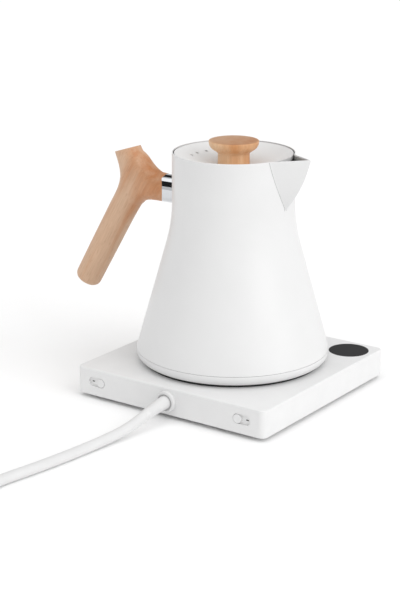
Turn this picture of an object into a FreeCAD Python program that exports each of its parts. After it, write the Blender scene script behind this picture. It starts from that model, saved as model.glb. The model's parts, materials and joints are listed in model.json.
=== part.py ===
import FreeCAD, Part

import math
import os

from FreeCAD import Vector

# An electric kettle on its powered base. Millimetres, +Z up. The origin is on the
# floor under the middle of the base. The spout points to -X, the handle to +X, the
# controls are along the front edge (-Y) and the mains cord leaves the rear edge (+Y).

# ---------------------------------------------------------------- power base
base_side = 171.0
base_height = 21.0
foot_height = 3.0
foot_radius = 7.0
foot_inset = 16.0
foot_edge_radius = 0.6
base_corner_radius = 5.0
base_edge_radius = 1.0
base_wall = 2.5
cover_thickness = 2.5
cover_gap = 0.2
board_lift = 2.5
board_thickness = 1.6
post_radius = 3.5
post_inset = 9.5
post_spread = 40.0
boss_spread = 50.0
boss_front = -28.0
boss_rear = 48.0
clamp_boss_radius = 2.5
screw_radius = 1.3
screw_head_radius = 2.9
screw_head_height = 1.4
screw_length = 9.0
screw_head_gap = 0.3
screw_slot_length = 3.4
screw_slot_width = 0.8
screw_slot_depth = 0.7

control_inset = 19.8
lens_radius = 15.6
lens_gap = 0.1
lens_flange = 1.4
lens_flange_height = 1.2
display_size = 27.0
display_height = 3.5
front_board_depth = 20.0
front_board_gap = 0.5
front_board_end_gap = 1.0

dial_radius = 15.6
dial_height = 8.0
dial_gap = 1.0
dial_wall = 2.0
dial_edge_radius = 1.2
dial_press_room = 1.0
shaft_radius = 3.0
shaft_running_gap = 0.04
shaft_hole_gap = 0.5
encoder_size = 13.0
encoder_height = 9.0
shaft_bite = 6.0
shaft_flat_depth = 0.8

switch_spread = 66.2
switch_centre_height = 14.0
recess_length = 15.0
recess_height = 7.5
recess_depth = 1.6
thumb_radius = 3.4
thumb_proud = 0.4
thumb_gap = 0.35
thumb_floor_gap = 0.1
thumb_edge_radius = 0.3
stem_width = 2.4
stem_gap = 0.35
stem_reach = 4.0
switch_body_length = 15.0
switch_body_depth = 8.0
switch_body_height = 9.0

main_board_half_width = 62.0
main_board_front = -36.0
main_board_rear = 58.0
buzzer_place = (32.0, -24.0)
buzzer_radius = 6.0
buzzer_height = 6.0
buzzer_hole_radius = 1.0
buzzer_hole_depth = 1.0
# The tall parts on the main board: name, x, y, width, depth, height.
board_part_sizes = (
    ("relay", 42.0, 20.0, 19.0, 15.0, 10.0),
    ("power_supply", -44.0, 20.0, 24.0, 22.0, 10.5),
    ("filter_capacitor", -40.0, 46.0, 16.0, 8.0, 9.0),
)

# ---------------------------------------------------------------- round connector
connector_radius = 17.5
connector_rise = 13.0
connector_flange_radius = 24.0
connector_flange_height = 2.5
connector_body_depth = 7.0
connector_gap = 0.1
connector_edge_radius = 1.0
pin_hole_radius = 3.0
inner_slot = (6.0, 8.0)
outer_slot = (11.5, 14.0)
slot_floor = 0.5
contact_wall = 0.5
contact_height = 9.0
socket_plate_gap = 1.0
socket_plate = 3.0
socket_skirt_gap = 0.7
socket_skirt_wall = 2.0
socket_pin_radius = 2.4
sleeve_wall = 0.8
sleeve_bottom_gap = 1.5

# ---------------------------------------------------------------- kettle body
kettle_height = 162.0
neck_radius = 46.3
cone_base_radius = 76.3
cone_half_angle = 15.7
flare_radius = 121.5
bottom_edge_radius = 6.5
body_wall = 0.8
foot_ring_height = 1.8
seam_groove = 0.2
bottom_flange_width = 3.7
vessel_floor_lift = 21.0
vessel_floor_thickness = 1.2
cover_hollow = 2.2
cover_plate = 1.8
foot_ring_width = 9.0
foot_ring_overhang = 0.8
cover_collar_gap = 0.4
cover_collar_wall = 2.0
cover_collar_height = 8.0
cover_snap_gap = 0.2
foot_ring_chamfer = 1.0
cover_screw_angles = (30.0, 150.0, 270.0)
heater_post_radius = 3.5
heater_post_pitch_radius = 52.0
spreader_radius = 46.0
spreader_thickness = 2.5
element_cutout_gap = 9.8
element_tube_radius = 3.2
element_open_angle = 36.0
element_pin_turn = 2.5
element_pin_radius = 1.6
element_pin_length = 7.0
cutout_radius = 4.6
cutout_height = 4.5
cutout_socket_gap = 7.0
probe_radius = 3.0
probe_rise = 16.0
probe_drop = 5.5
probe_tip_round = 2.8
probe_socket_gap = 4.6
probe_seal_radius = 6.0
probe_seal_height = 2.2

# ---------------------------------------------------------------- spout
spout_tip_reach = 68.1
spout_tip_rise = 1.7
spout_depth = 39.0
spout_bulge = 3.0
spout_half_angle = 35.3
spout_wall = 0.8
spout_sections = 6
spout_slant_start = 41.7

# ---------------------------------------------------------------- lid
lid_gap = 0.9
lid_edge_drop = 0.7
lid_dish_depth = 9.9
lid_sheet = 1.2
lid_skirt = 3.0
vent_radius = 1.3
vent_pitch_radius = 33.6
vent_angles = (-17.0, 0.0, 15.0)
cup_neck_gap = 5.5
cup_wall = 2.0
cup_depth = 19.0
cup_floor = 1.6
cup_under_gap = 0.3
cup_post_radius = 6.0
cup_hole_radius = 2.5
cup_hole_pitch_radius = 25.0
cup_hole_count = 6
seal_height = 3.5
seal_lift = 5.0
seal_gap = 0.2
seal_lip_width = 2.0
seal_lip_slope = 0.8
seal_lip_height = 0.6
knob_radius = 18.8
knob_neck_radius = 11.9
knob_crown_height = 19.1
knob_crown_radius = 240.0
knob_edge_round = 0.7
knob_belly_height = 16.9
knob_belly_drop = 4.2
knob_belly_inset = 2.0
knob_shoulder_height = 9.0
knob_cove_width = 1.3
knob_cove_drop = 1.0
knob_cove_rise = 1.1
lid_screw_radius = 2.0
lid_screw_head_radius = 3.8
lid_screw_head_height = 2.2
lid_screw_socket_radius = 1.4
lid_screw_socket_depth = 1.2
lid_screw_bite = 11.0
washer_thickness = 0.8
washer_radius = 5.2

# ---------------------------------------------------------------- handle
handle_axis_drop = 36.2
ferrule_radius = 11.0
ferrule_end = 59.0
ferrule_mouth_radius = 13.0
bolt_radius = 2.5
bolt_head_radius = 4.5
bolt_head_height = 2.8
bolt_socket_radius = 1.6
bolt_socket_depth = 1.6
bolt_washer_radius = 5.5
bolt_washer_gap = 0.4
bolt_end = 84.0
insert_radius = 4.5
insert_start = 70.0
insert_length = 15.0
insert_end_gap = 1.0
grip_end_fillet = 2.5
# Sections down the back of the wooden piece, from the top of the horn to the end of
# the grip: x, height over the ferrule's axis, lean of the section, radius in the
# plane of the handle, radius across it.
handle_sections = (
    (100.4, 26.6, -17.5, 10.6, 10.2),
    (96.2, 16.0, -18.0, 10.9, 10.4),
    (93.8, 4.5, -4.0, 12.0, 10.8),
    (97.4, -8.5, 22.0, 11.8, 10.9),
    (107.6, -25.4, 30.6, 11.3, 10.7),
    (125.0, -54.8, 30.6, 11.1, 10.5),
    (142.2, -83.9, 30.6, 10.8, 10.2),
)

# ---------------------------------------------------------------- mains cord
cord_radius = 3.9
cord_exit_height = 13.5
clamp_width = 22.0
clamp_depth = 8.0
clamp_height = 10.0
clamp_setback = 12.0
clamp_screw_spread = 8.0
grommet_collar_radius = 8.25
grommet_collar_length = 3.2
grommet_collar_round = 0.8
grommet_cup_radius = 6.3
grommet_cup_depth = 1.6
grommet_neck_radius = 5.6
grommet_flange_radius = 7.6
grommet_flange_length = 2.0
sleeve_root_radius = 5.3
sleeve_tip_radius = 4.6
sleeve_reach = 16.0
# The cord's route from inside the base to the coil, over the floor: across, out from
# the rear edge, and up.
cord_route = (
    (0.0, -10.5, 13.5),
    (0.0, 17.5, 13.0),
    (1.2, 45.5, 6.0),
    (5.2, 74.5, 3.9),
    (8.0, 103.5, 3.9),
    (12.0, 132.5, 3.9),
    (18.3, 165.5, 3.9),
    (18.5, 198.5, 3.9),
)
# The put-away length: turns side by side on the floor, winding in from the outermost.
coil_turns = 2
coil_pitch = 8.0
coil_entry_radius = 48.0
# The cord's route from the innermost turn, over the others, to the plug.
tail_route = (
    (34.5, 198.5, 11.7),
    (34.9, 223.5, 12.1),
    (36.4, 248.5, 11.7),
)
tie_width = 14.0
tie_thickness = 1.2
bend_share = 0.45
plug_relief_length = 22.0
plug_relief_root_radius = 7.5
plug_relief_tip_radius = 5.0
plug_length = 28.0
plug_width = 27.0
plug_height = 23.4
plug_fillet = 4.0
blade_width = 1.5
blade_height = 6.35
blade_length = 17.5
blade_spread = 6.35
ground_radius = 2.4
ground_length = 20.0
ground_drop = 6.0
blade_rise = 3.5

# ---------------------------------------------------------------- derived places
base_half = base_side / 2
base_top = foot_height + base_height
base_ceiling = base_top - base_wall
base_inside = base_half - base_wall
cover_top = foot_height + cover_thickness
board_bottom = cover_top + board_lift
board_top = board_bottom + board_thickness
control_place = base_half - control_inset
post_place = base_half - post_inset
foot_place = base_half - foot_inset
switch_travel = recess_length - 2 * thumb_radius - 2 * thumb_gap
connector_top = base_top + connector_rise

body_bottom = base_top + foot_ring_height
rim_height = base_top + kettle_height
half_angle = math.radians(cone_half_angle)
inner_neck_radius = neck_radius - body_wall
vessel_floor = base_top + vessel_floor_lift
socket_roof = connector_top + socket_plate_gap
socket_top = socket_roof + socket_plate
socket_inner_radius = connector_radius + socket_skirt_gap
socket_radius = socket_inner_radius + socket_skirt_wall
cutout_pitch_radius = socket_radius + cutout_socket_gap
element_pitch_radius = cutout_pitch_radius + element_cutout_gap
probe_pitch_radius = socket_radius + probe_socket_gap

lid_radius = inner_neck_radius - lid_gap
lid_edge = rim_height - lid_edge_drop
lid_dish_bottom = lid_edge - lid_dish_depth
lid_dish_radius = (lid_radius ** 2 + lid_dish_depth ** 2) / (2 * lid_dish_depth)
cup_radius = inner_neck_radius - cup_neck_gap
cup_bottom = lid_edge - cup_depth
handle_axis = rim_height - handle_axis_drop
spreader_bottom = vessel_floor - spreader_thickness
coil_height = 2 * cord_radius
coil_inner_radius = coil_entry_radius - coil_turns * coil_pitch - cord_radius
coil_outer_radius = coil_entry_radius + cord_radius
cord_points = [Vector(x, base_half + out, z) for x, out, z in cord_route]
tail_points = [Vector(x, base_half + out, z) for x, out, z in tail_route]
coil_centre = Vector(cord_points[-1].x + coil_entry_radius, cord_points[-1].y, 0)


# ---------------------------------------------------------------- helpers
def cylinder(radius, low, high, x=0.0, y=0.0):
    """Upright cylinder between two heights."""
    return Part.makeCylinder(radius, high - low, Vector(x, y, low))


def ring(inner, outer, low, high, x=0.0, y=0.0):
    """Upright tube between two heights."""
    return cylinder(outer, low, high, x, y).cut(cylinder(inner, low, high, x, y))


def box(x_low, x_high, y_low, y_high, z_low, z_high):
    """Box between two corners."""
    size = (x_high - x_low, y_high - y_low, z_high - z_low)
    return Part.makeBox(*size, Vector(x_low, y_low, z_low))


def block(x, y, width, depth, low, high):
    """Box given by the middle of its plan and its two heights."""
    return box(x - width / 2, x + width / 2, y - depth / 2, y + depth / 2, low, high)


def rounded_plate(half, corner, low, high):
    """Square plate with round upright corners."""
    plate = box(-half, half, -half, half, low, high)
    upright = [e for e in plate.Edges if abs(e.tangentAt(e.FirstParameter).z) > 0.9]
    return plate.makeFillet(corner, upright)


def level_edges(shape, height):
    """Edges of a shape that lie at one height."""
    tolerance = 1e-4
    found = []
    for edge in shape.Edges:
        bounds = edge.BoundBox
        if abs(bounds.ZMin - height) < tolerance and abs(bounds.ZMax - height) < tolerance:
            found.append(edge)
    return found


def revolved(points):
    """Solid of revolution about Z from (radius, height) corners."""
    corners = [Vector(radius, 0, height) for radius, height in points]
    face = Part.Face(Part.makePolygon(corners + corners[:1]))
    return face.revolve(Vector(0, 0, 0), Vector(0, 0, 1), 360)


def revolved_edges(edges):
    """Solid of revolution about Z from joined edges that close."""
    face = Part.Face(Part.Wire(Part.__sortEdges__(edges)))
    return face.revolve(Vector(0, 0, 0), Vector(0, 0, 1), 360)


def line(start, end):
    """Straight edge."""
    return Part.LineSegment(start, end).toShape()


def arc(start, middle, end):
    """Arc edge through three points."""
    return Part.Arc(start, middle, end).toShape()


def along_y(shape, x, y, z):
    """Turn an upright shape so that its axis points to +Y, and place it."""
    turned = shape.copy()
    turned.rotate(Vector(0, 0, 0), Vector(1, 0, 0), -90)
    turned.translate(Vector(x, y, z))
    return turned


def along_x(shape, x, y, z):
    """Turn an upright shape so that its axis points to +X, and place it."""
    turned = shape.copy()
    turned.rotate(Vector(0, 0, 0), Vector(0, 1, 0), 90)
    turned.translate(Vector(x, y, z))
    return turned


def corners(place_x, place_y):
    """The four places that mirror one another about both middle planes."""
    return [(sx * place_x, sy * place_y) for sx in (-1, 1) for sy in (-1, 1)]


def save(name, shape):
    """Write one node, and stop on a shape that isn't closed."""
    if not shape.isValid() or shape.Volume <= 0:
        raise ValueError(name + " isn't a valid solid")
    shape.exportStep(os.path.join("parts", name + ".step"))


# ---------------------------------------------------------------- base shell
def slide_pill(length, height, near, far, x):
    """Upright-standing pill cut through the rear wall between two distances."""
    radius = height / 2
    middle = box(x - length / 2 + radius, x + length / 2 - radius, near, far,
                 switch_centre_height - radius, switch_centre_height + radius)
    for side in (-1, 1):
        end = cylinder(radius, 0, far - near)
        middle = middle.fuse(along_y(end, x + side * (length / 2 - radius), near,
                                     switch_centre_height))
    return middle.removeSplitter()


def base_housing():
    outer = rounded_plate(base_half, base_corner_radius, foot_height, base_top)
    outer = outer.makeFillet(base_edge_radius, level_edges(outer, base_top))
    outer = outer.makeFillet(base_edge_radius / 2, level_edges(outer, foot_height))
    inside = rounded_plate(base_inside, base_corner_radius - base_wall,
                           foot_height, base_ceiling)
    shell = outer.cut(inside)
    for x, y in corners(post_spread, post_place):
        post = cylinder(post_radius, cover_top, base_ceiling, x, y)
        shell = shell.fuse(post)
        shell = shell.cut(cylinder(screw_radius, cover_top, cover_top + screw_length, x, y))
    shell = shell.cut(cylinder(lens_radius + lens_gap, base_ceiling, base_top,
                               -control_place, -control_place))
    shell = shell.cut(cylinder(shaft_radius + shaft_hole_gap, base_ceiling, base_top,
                               control_place, -control_place))
    shell = shell.cut(cylinder(connector_radius + connector_gap, base_ceiling, base_top))
    grommet_hole = cylinder(grommet_neck_radius, 0, base_wall)
    shell = shell.cut(along_y(grommet_hole, 0, base_inside, cord_exit_height))
    slot_length = switch_travel + stem_width + 2 * stem_gap
    slot_half_height = stem_width / 2 + stem_gap
    for x in (-switch_spread, switch_spread):
        shell = shell.cut(slide_pill(recess_length, recess_height,
                                     base_half - recess_depth, base_half, x))
        shell = shell.cut(box(x - slot_length / 2, x + slot_length / 2, base_inside,
                              base_half - recess_depth,
                              switch_centre_height - slot_half_height,
                              switch_centre_height + slot_half_height))
    return shell


def base_bottom_cover():
    plate = rounded_plate(base_inside - cover_gap, base_corner_radius - base_wall,
                          foot_height, cover_top)
    for x, y in [(x, y) for x in (-boss_spread, boss_spread) for y in (boss_front, boss_rear)]:
        plate = plate.fuse(cylinder(post_radius, cover_top, board_bottom, x, y))
    clamp_y = base_inside - clamp_setback
    for side in (-1, 1):
        x = side * clamp_screw_spread
        plate = plate.fuse(cylinder(clamp_boss_radius, cover_top, board_bottom, x, clamp_y))
        plate = plate.cut(cylinder(screw_radius, cover_top, board_bottom, x, clamp_y))
    for x, y in corners(post_spread, post_place):
        plate = plate.cut(cylinder(screw_radius, foot_height, cover_top, x, y))
        pocket_top = foot_height + screw_head_height + screw_head_gap
        plate = plate.cut(cylinder(screw_head_radius + screw_head_gap, foot_height,
                                   pocket_top, x, y))
    return plate


def rubber_feet():
    feet = []
    for x, y in corners(foot_place, foot_place):
        foot = cylinder(foot_radius, 0, foot_height, x, y)
        feet.append(foot.makeFillet(foot_edge_radius, level_edges(foot, 0)))
    return Part.makeCompound(feet)


def base_screws():
    screws = []
    head_low = foot_height + screw_head_gap
    head_high = head_low + screw_head_height
    for x, y in corners(post_spread, post_place):
        head = cylinder(screw_head_radius, head_low, head_high, x, y)
        shank = cylinder(screw_radius, head_high, cover_top + screw_length, x, y)
        drive = block(x, y, screw_slot_length, screw_slot_width, head_low,
                      head_low + screw_slot_depth)
        screws.append(head.fuse(shank).cut(drive))
    return Part.makeCompound(screws)


# ---------------------------------------------------------------- base works
def display_lens():
    place = (-control_place, -control_place)
    lens = cylinder(lens_radius, base_ceiling, base_top, *place)
    flange = cylinder(lens_radius + lens_flange, base_ceiling - lens_flange_height,
                      base_ceiling, *place)
    return lens.fuse(flange).removeSplitter()


def display_module():
    top = base_ceiling - lens_flange_height
    return block(-control_place, -control_place, display_size, display_size,
                 top - display_height, top)


def front_board():
    """Board under the display and the dial."""
    near = -post_place + post_radius + front_board_gap
    half_width = base_inside - front_board_end_gap
    return box(-half_width, half_width, near, near + front_board_depth,
               board_bottom, board_top)


def encoder_body():
    body = block(control_place, -control_place, encoder_size, encoder_size,
                 board_top, board_top + encoder_height)
    bore = shaft_radius + shaft_running_gap
    return body.cut(cylinder(bore, board_top + encoder_height - shaft_bite,
                             board_top + encoder_height, control_place, -control_place))


def encoder_shaft():
    low = board_top + encoder_height - shaft_bite
    high = base_top + dial_gap + dial_height - dial_wall
    shaft = cylinder(shaft_radius, low, high, control_place, -control_place)
    flat = block(control_place, -control_place - 2 * shaft_radius + shaft_flat_depth,
                 2 * shaft_radius, 2 * shaft_radius, base_top + dial_gap, high)
    return shaft.cut(flat)


def dial_knob():
    low = base_top + dial_gap
    high = low + dial_height
    place = (control_place, -control_place)
    knob = cylinder(dial_radius, low, high, *place)
    knob = knob.makeFillet(dial_edge_radius, level_edges(knob, high))
    roof = high - dial_wall
    knob = knob.cut(ring(shaft_radius + dial_wall, dial_radius - dial_wall, low, roof, *place))
    return knob.cut(cylinder(shaft_radius + shaft_running_gap, low,
                             roof + dial_press_room, *place))


def main_board():
    return box(-main_board_half_width, main_board_half_width, main_board_front,
               main_board_rear, board_bottom, board_top)


def board_parts():
    """The tall parts on the main board, each with its name."""
    return [(name, block(x, y, width, depth, board_top, board_top + height))
            for name, x, y, width, depth, height in board_part_sizes]


def buzzer():
    top = board_top + buzzer_height
    can = cylinder(buzzer_radius, board_top, top, *buzzer_place)
    return can.cut(cylinder(buzzer_hole_radius, top - buzzer_hole_depth, top, *buzzer_place))


def switch_body(side):
    """Slide switch behind the rear wall, open where the slider's stem runs."""
    x = side * switch_spread
    low = switch_centre_height - switch_body_height / 2
    body = box(x - switch_body_length / 2, x + switch_body_length / 2,
               base_inside - switch_body_depth, base_inside,
               low, low + switch_body_height)
    slot_length = switch_travel + stem_width + 2 * stem_gap
    slot_half_height = stem_width / 2 + stem_gap
    slot = box(x - slot_length / 2, x + slot_length / 2,
               base_inside - stem_reach - stem_gap, base_inside,
               switch_centre_height - slot_half_height,
               switch_centre_height + slot_half_height)
    return body.cut(slot)


def slider(side):
    """Thumb of a slide switch, at the end of its recess nearer the middle."""
    x = side * (switch_spread - switch_travel / 2)
    thumb_bottom = base_half - recess_depth + thumb_floor_gap
    thumb = cylinder(thumb_radius, 0, base_half + thumb_proud - thumb_bottom)
    thumb = along_y(thumb, x, thumb_bottom, switch_centre_height)
    rounded = [e for e in thumb.Edges if abs(e.BoundBox.YMin - base_half - thumb_proud) < 1e-3]
    thumb = thumb.makeFillet(thumb_edge_radius, rounded)
    stem = box(x - stem_width / 2, x + stem_width / 2, base_inside - stem_reach,
               thumb_bottom, switch_centre_height - stem_width / 2,
               switch_centre_height + stem_width / 2)
    return thumb.fuse(stem)


# ---------------------------------------------------------------- connector
def base_connector():
    low = base_ceiling - connector_body_depth
    boss = cylinder(connector_radius, low, connector_top)
    boss = boss.makeFillet(connector_edge_radius, level_edges(boss, connector_top))
    flange = cylinder(connector_flange_radius, base_ceiling - connector_flange_height,
                      base_ceiling)
    boss = boss.fuse(flange)
    floor = base_top + slot_floor
    for inner, outer in (inner_slot, outer_slot):
        boss = boss.cut(ring(inner, outer, floor, connector_top))
    return boss.cut(cylinder(pin_hole_radius, floor, connector_top))


def connector_contacts():
    floor = base_top + slot_floor
    contacts = [cylinder(pin_hole_radius, floor, floor + contact_wall)]
    for inner, outer in (inner_slot, outer_slot):
        contacts.append(ring(inner, inner + contact_wall, floor, floor + contact_height))
    return Part.makeCompound(contacts)


def coupler_socket():
    skirt_low = base_top + cover_hollow
    plate = cylinder(socket_radius, socket_roof, socket_top)
    skirt = ring(socket_inner_radius, socket_radius, skirt_low, socket_roof)
    return plate.fuse(skirt).removeSplitter()


def socket_contacts():
    low = base_top + slot_floor + sleeve_bottom_gap
    contacts = [cylinder(socket_pin_radius, low, socket_roof)]
    for inner, outer in (inner_slot, outer_slot):
        middle = (inner + contact_wall + outer) / 2
        contacts.append(ring(middle - sleeve_wall / 2, middle + sleeve_wall / 2,
                             low, socket_roof))
    return Part.makeCompound(contacts)


# ---------------------------------------------------------------- kettle body
def wall_points(inset):
    """Points of the wall line, inset from the outside, from the seam to the rim."""
    corner_height = body_bottom + (cone_base_radius - neck_radius) / math.tan(half_angle)
    reach = flare_radius * math.tan(half_angle / 2)
    centre = Vector(neck_radius + flare_radius, 0, corner_height + reach)
    radius = flare_radius + inset

    def on_flare(angle):
        return centre + Vector(-radius * math.cos(angle), 0, -radius * math.sin(angle))

    bottom_reach = bottom_edge_radius / math.tan((math.pi / 2 - half_angle) / 2)
    seam = Vector(cone_base_radius - bottom_reach * math.sin(half_angle), 0,
                  body_bottom + bottom_reach * math.cos(half_angle))
    seam = seam - Vector(math.cos(half_angle), 0, math.sin(half_angle)) * inset
    rim = Vector(neck_radius - inset, 0, rim_height)
    return seam, on_flare(half_angle), on_flare(half_angle / 2), on_flare(0), rim


def wall_edges(inset):
    """Edges of the wall line, inset from the outside, from the seam to the rim."""
    seam, cone_top, flare_middle, flare_top, rim = wall_points(inset)
    return [line(seam, cone_top), arc(cone_top, flare_middle, flare_top),
            line(flare_top, rim)]


def vase(inset):
    """Solid inside the wall line, from the seam to the rim."""
    edges = wall_edges(inset)
    seam = wall_points(inset)[0]
    rim = wall_points(inset)[4]
    foot = Vector(0, 0, seam.z)
    top = Vector(0, 0, rim.z)
    return revolved_edges(edges + [line(rim, top), line(top, foot), line(foot, seam)])


def spout_keel(height):
    """Distance of the spout's outer keel from the kettle's axis at a height."""
    top = rim_height + spout_tip_rise
    low = rim_height - spout_depth
    start = Vector(spout_tip_reach, 0, top)
    end = Vector(neck_radius, 0, low)
    chord = end - start
    half = chord.Length / 2
    radius = (half ** 2 + spout_bulge ** 2) / (2 * spout_bulge)
    outward = Vector(-chord.z, 0, chord.x) * (1 / chord.Length)
    centre = (start + end) * 0.5 - outward * (radius - spout_bulge)
    return centre.x + math.sqrt(radius ** 2 - (height - centre.z) ** 2)


def spout_wedge(inset):
    """V-shaped wedge behind the spout's keel, from its foot to over the rim."""
    low = rim_height - spout_depth
    high = rim_height + 2 * spout_tip_rise
    spread = math.tan(math.radians(spout_half_angle))
    back = inset / math.sin(math.radians(spout_half_angle))
    depth = spout_tip_reach - neck_radius / 2
    wires = []
    for step in range(spout_sections + 1):
        height = low + (high - low) * step / spout_sections
        keel = spout_keel(height) - back
        wires.append(Part.makePolygon([
            Vector(-keel, 0, height),
            Vector(depth - keel, -depth * spread, height),
            Vector(depth - keel, depth * spread, height),
            Vector(-keel, 0, height),
        ]))
    return Part.makeLoft(wires, True)


def spout_roof():
    """What stands over the spout's slanted top edge, to cut away."""
    points = [
        Vector(-spout_slant_start, -neck_radius, rim_height),
        Vector(-spout_tip_reach, -neck_radius, rim_height + spout_tip_rise),
        Vector(-2 * spout_tip_reach, -neck_radius, rim_height + 2 * spout_tip_rise),
        Vector(-2 * spout_tip_reach, -neck_radius, rim_height + neck_radius),
        Vector(neck_radius, -neck_radius, rim_height + neck_radius),
        Vector(neck_radius, -neck_radius, rim_height),
    ]
    face = Part.Face(Part.makePolygon(points + points[:1]))
    return face.extrude(Vector(0, 2 * neck_radius, 0))


def body_shell():
    seam_in, cone_in, flare_in, neck_in, rim_in = wall_points(body_wall)
    seam_out = wall_points(0)[0]
    rim_out = wall_points(0)[4]
    inner = wall_edges(body_wall)
    shell = revolved_edges(wall_edges(0) + inner + [line(rim_out, rim_in),
                                                    line(seam_in, seam_out)])
    shell = shell.cut(spout_wedge(spout_wall))
    bolt_hole = cylinder(bolt_radius, 0, neck_radius)
    return shell.cut(along_x(bolt_hole, neck_radius / 2, 0, handle_axis))


def spout():
    plates = spout_wedge(0).cut(spout_wedge(spout_wall))
    column = cylinder(neck_radius, rim_height - 2 * spout_depth, rim_height + neck_radius)
    plates = plates.cut(column).cut(vase(0)).cut(spout_roof())
    solids = sorted(plates.Solids, key=lambda solid: solid.Volume)
    return solids[-1]


def bottom_band():
    """Rounded band under the seam, rolled in to a flange that carries the cover."""
    seam = wall_points(0)[0]
    middle = Vector(seam.x - bottom_edge_radius * math.cos(half_angle), 0,
                    seam.z - bottom_edge_radius * math.sin(half_angle))
    start = half_angle - seam_groove / bottom_edge_radius
    end = -math.pi / 2
    flange_end = middle.x - bottom_flange_width

    def on_band(radius, angle):
        return middle + Vector(radius * math.cos(angle), 0, radius * math.sin(angle))

    outer = bottom_edge_radius
    inner = bottom_edge_radius - body_wall
    half_way = (start + end) / 2
    corner_low = Vector(flange_end, 0, on_band(outer, end).z)
    corner_high = Vector(flange_end, 0, on_band(inner, end).z)
    edges = [
        arc(on_band(outer, start), on_band(outer, half_way), on_band(outer, end)),
        line(on_band(outer, end), corner_low),
        line(corner_low, corner_high),
        line(corner_high, on_band(inner, end)),
        arc(on_band(inner, end), on_band(inner, half_way), on_band(inner, start)),
        line(on_band(inner, start), on_band(outer, start)),
    ]
    return revolved_edges(edges)


def foot_ring_radius():
    """Radius where the rolled bottom edge turns level."""
    return wall_points(0)[0].x - bottom_edge_radius * math.cos(half_angle)


def cover_screw_places():
    """Places of the three screws under the kettle."""
    places = []
    for turn in cover_screw_angles:
        angle = math.radians(turn)
        places.append((heater_post_pitch_radius * math.cos(angle),
                       heater_post_pitch_radius * math.sin(angle)))
    return places


def kettle_bottom_cover():
    ring_outer = foot_ring_radius() + foot_ring_overhang
    ring_inner = foot_ring_radius() - foot_ring_width
    collar_inner = socket_radius + cover_collar_gap
    collar_outer = collar_inner + cover_collar_wall
    plate_low = base_top + cover_hollow
    plate_high = plate_low + cover_plate
    snap = foot_ring_radius() - bottom_flange_width - cover_snap_gap
    cover = revolved([
        (collar_inner, plate_low), (ring_inner, plate_low), (ring_inner + foot_ring_chamfer, base_top),
        (ring_outer, base_top), (ring_outer, body_bottom), (snap, body_bottom),
        (snap, plate_high), (collar_outer, plate_high),
        (collar_outer, plate_high + cover_collar_height),
        (collar_inner, plate_high + cover_collar_height),
    ])
    for x, y in cover_screw_places():
        cover = cover.cut(cylinder(screw_radius, plate_low, plate_high, x, y))
    return cover


def bottom_cover_screws():
    screws = []
    plate_low = base_top + cover_hollow
    for x, y in cover_screw_places():
        head = cylinder(screw_head_radius, plate_low - screw_head_height, plate_low, x, y)
        shank = cylinder(screw_radius, plate_low, plate_low + screw_length, x, y)
        screws.append(head.fuse(shank))
    return Part.makeCompound(screws)


def heater_posts():
    posts = []
    low = base_top + cover_hollow + cover_plate
    bore_high = base_top + cover_hollow + screw_length
    for x, y in cover_screw_places():
        post = cylinder(heater_post_radius, low, vessel_floor, x, y)
        posts.append(post.cut(cylinder(screw_radius, low, bore_high, x, y)))
    return Part.makeCompound(posts)


def vessel_floor_plate():
    slab = cylinder(cone_base_radius, vessel_floor, vessel_floor + vessel_floor_thickness)
    plate = vase(body_wall).common(slab)
    return plate.cut(cylinder(probe_seal_radius, vessel_floor, rim_height,
                              -probe_pitch_radius, 0))


def heat_spreader():
    disc = cylinder(spreader_radius, spreader_bottom, vessel_floor)
    return disc.cut(cylinder(probe_seal_radius, spreader_bottom, vessel_floor,
                             -probe_pitch_radius, 0))


def heating_element():
    """Open ring under the spreader with a pin down at each end."""
    height = spreader_bottom - element_tube_radius
    sweep = 360 - element_open_angle
    profile = Part.Face(Part.Wire(Part.makeCircle(
        element_tube_radius, Vector(element_pitch_radius, 0, height), Vector(0, 1, 0))))
    tube = profile.revolve(Vector(0, 0, 0), Vector(0, 0, 1), sweep)
    tube.rotate(Vector(0, 0, 0), Vector(0, 0, 1), 270 + element_open_angle / 2)
    for side in (-1, 1):
        angle = math.radians(270 + side * (element_open_angle / 2 + element_pin_turn))
        x = element_pitch_radius * math.cos(angle)
        y = element_pitch_radius * math.sin(angle)
        pin = cylinder(element_pin_radius, height - element_pin_length, height, x, y)
        tube = tube.fuse(pin)
    return tube


def thermal_cutout():
    return cylinder(cutout_radius, spreader_bottom - cutout_height, spreader_bottom,
                    cutout_pitch_radius, 0)


def temperature_probe():
    top = vessel_floor + probe_rise
    probe = cylinder(probe_radius, spreader_bottom - probe_drop, top, -probe_pitch_radius, 0)
    return probe.makeFillet(probe_tip_round, level_edges(probe, top))


def probe_seal():
    high = vessel_floor + vessel_floor_thickness + probe_seal_height
    return ring(probe_radius, probe_seal_radius, spreader_bottom, high, -probe_pitch_radius, 0)


# ---------------------------------------------------------------- handle
def ferrule_mouth(reach):
    """Round-nosed block that the wooden neck fills beyond the ferrule."""
    nose = cylinder(ferrule_mouth_radius, 0, 4 * ferrule_radius)
    nose = along_y(nose, ferrule_end + ferrule_mouth_radius, -2 * ferrule_radius, handle_axis)
    beyond = box(ferrule_end + ferrule_mouth_radius, reach, -2 * ferrule_radius,
                 2 * ferrule_radius, handle_axis - 2 * ferrule_radius,
                 handle_axis + 2 * ferrule_radius)
    return nose.fuse(beyond)


def handle_ferrule():
    reach = ferrule_end + ferrule_mouth_radius
    tube = along_x(cylinder(ferrule_radius, 0, reach - neck_radius / 2),
                   neck_radius / 2, 0, handle_axis)
    tube = tube.cut(vase(0)).cut(ferrule_mouth(2 * reach))
    tube = tube.cut(along_x(cylinder(bolt_radius, 0, reach), 0, 0, handle_axis))
    return sorted(tube.Solids, key=lambda solid: solid.Volume)[-1]


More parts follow.
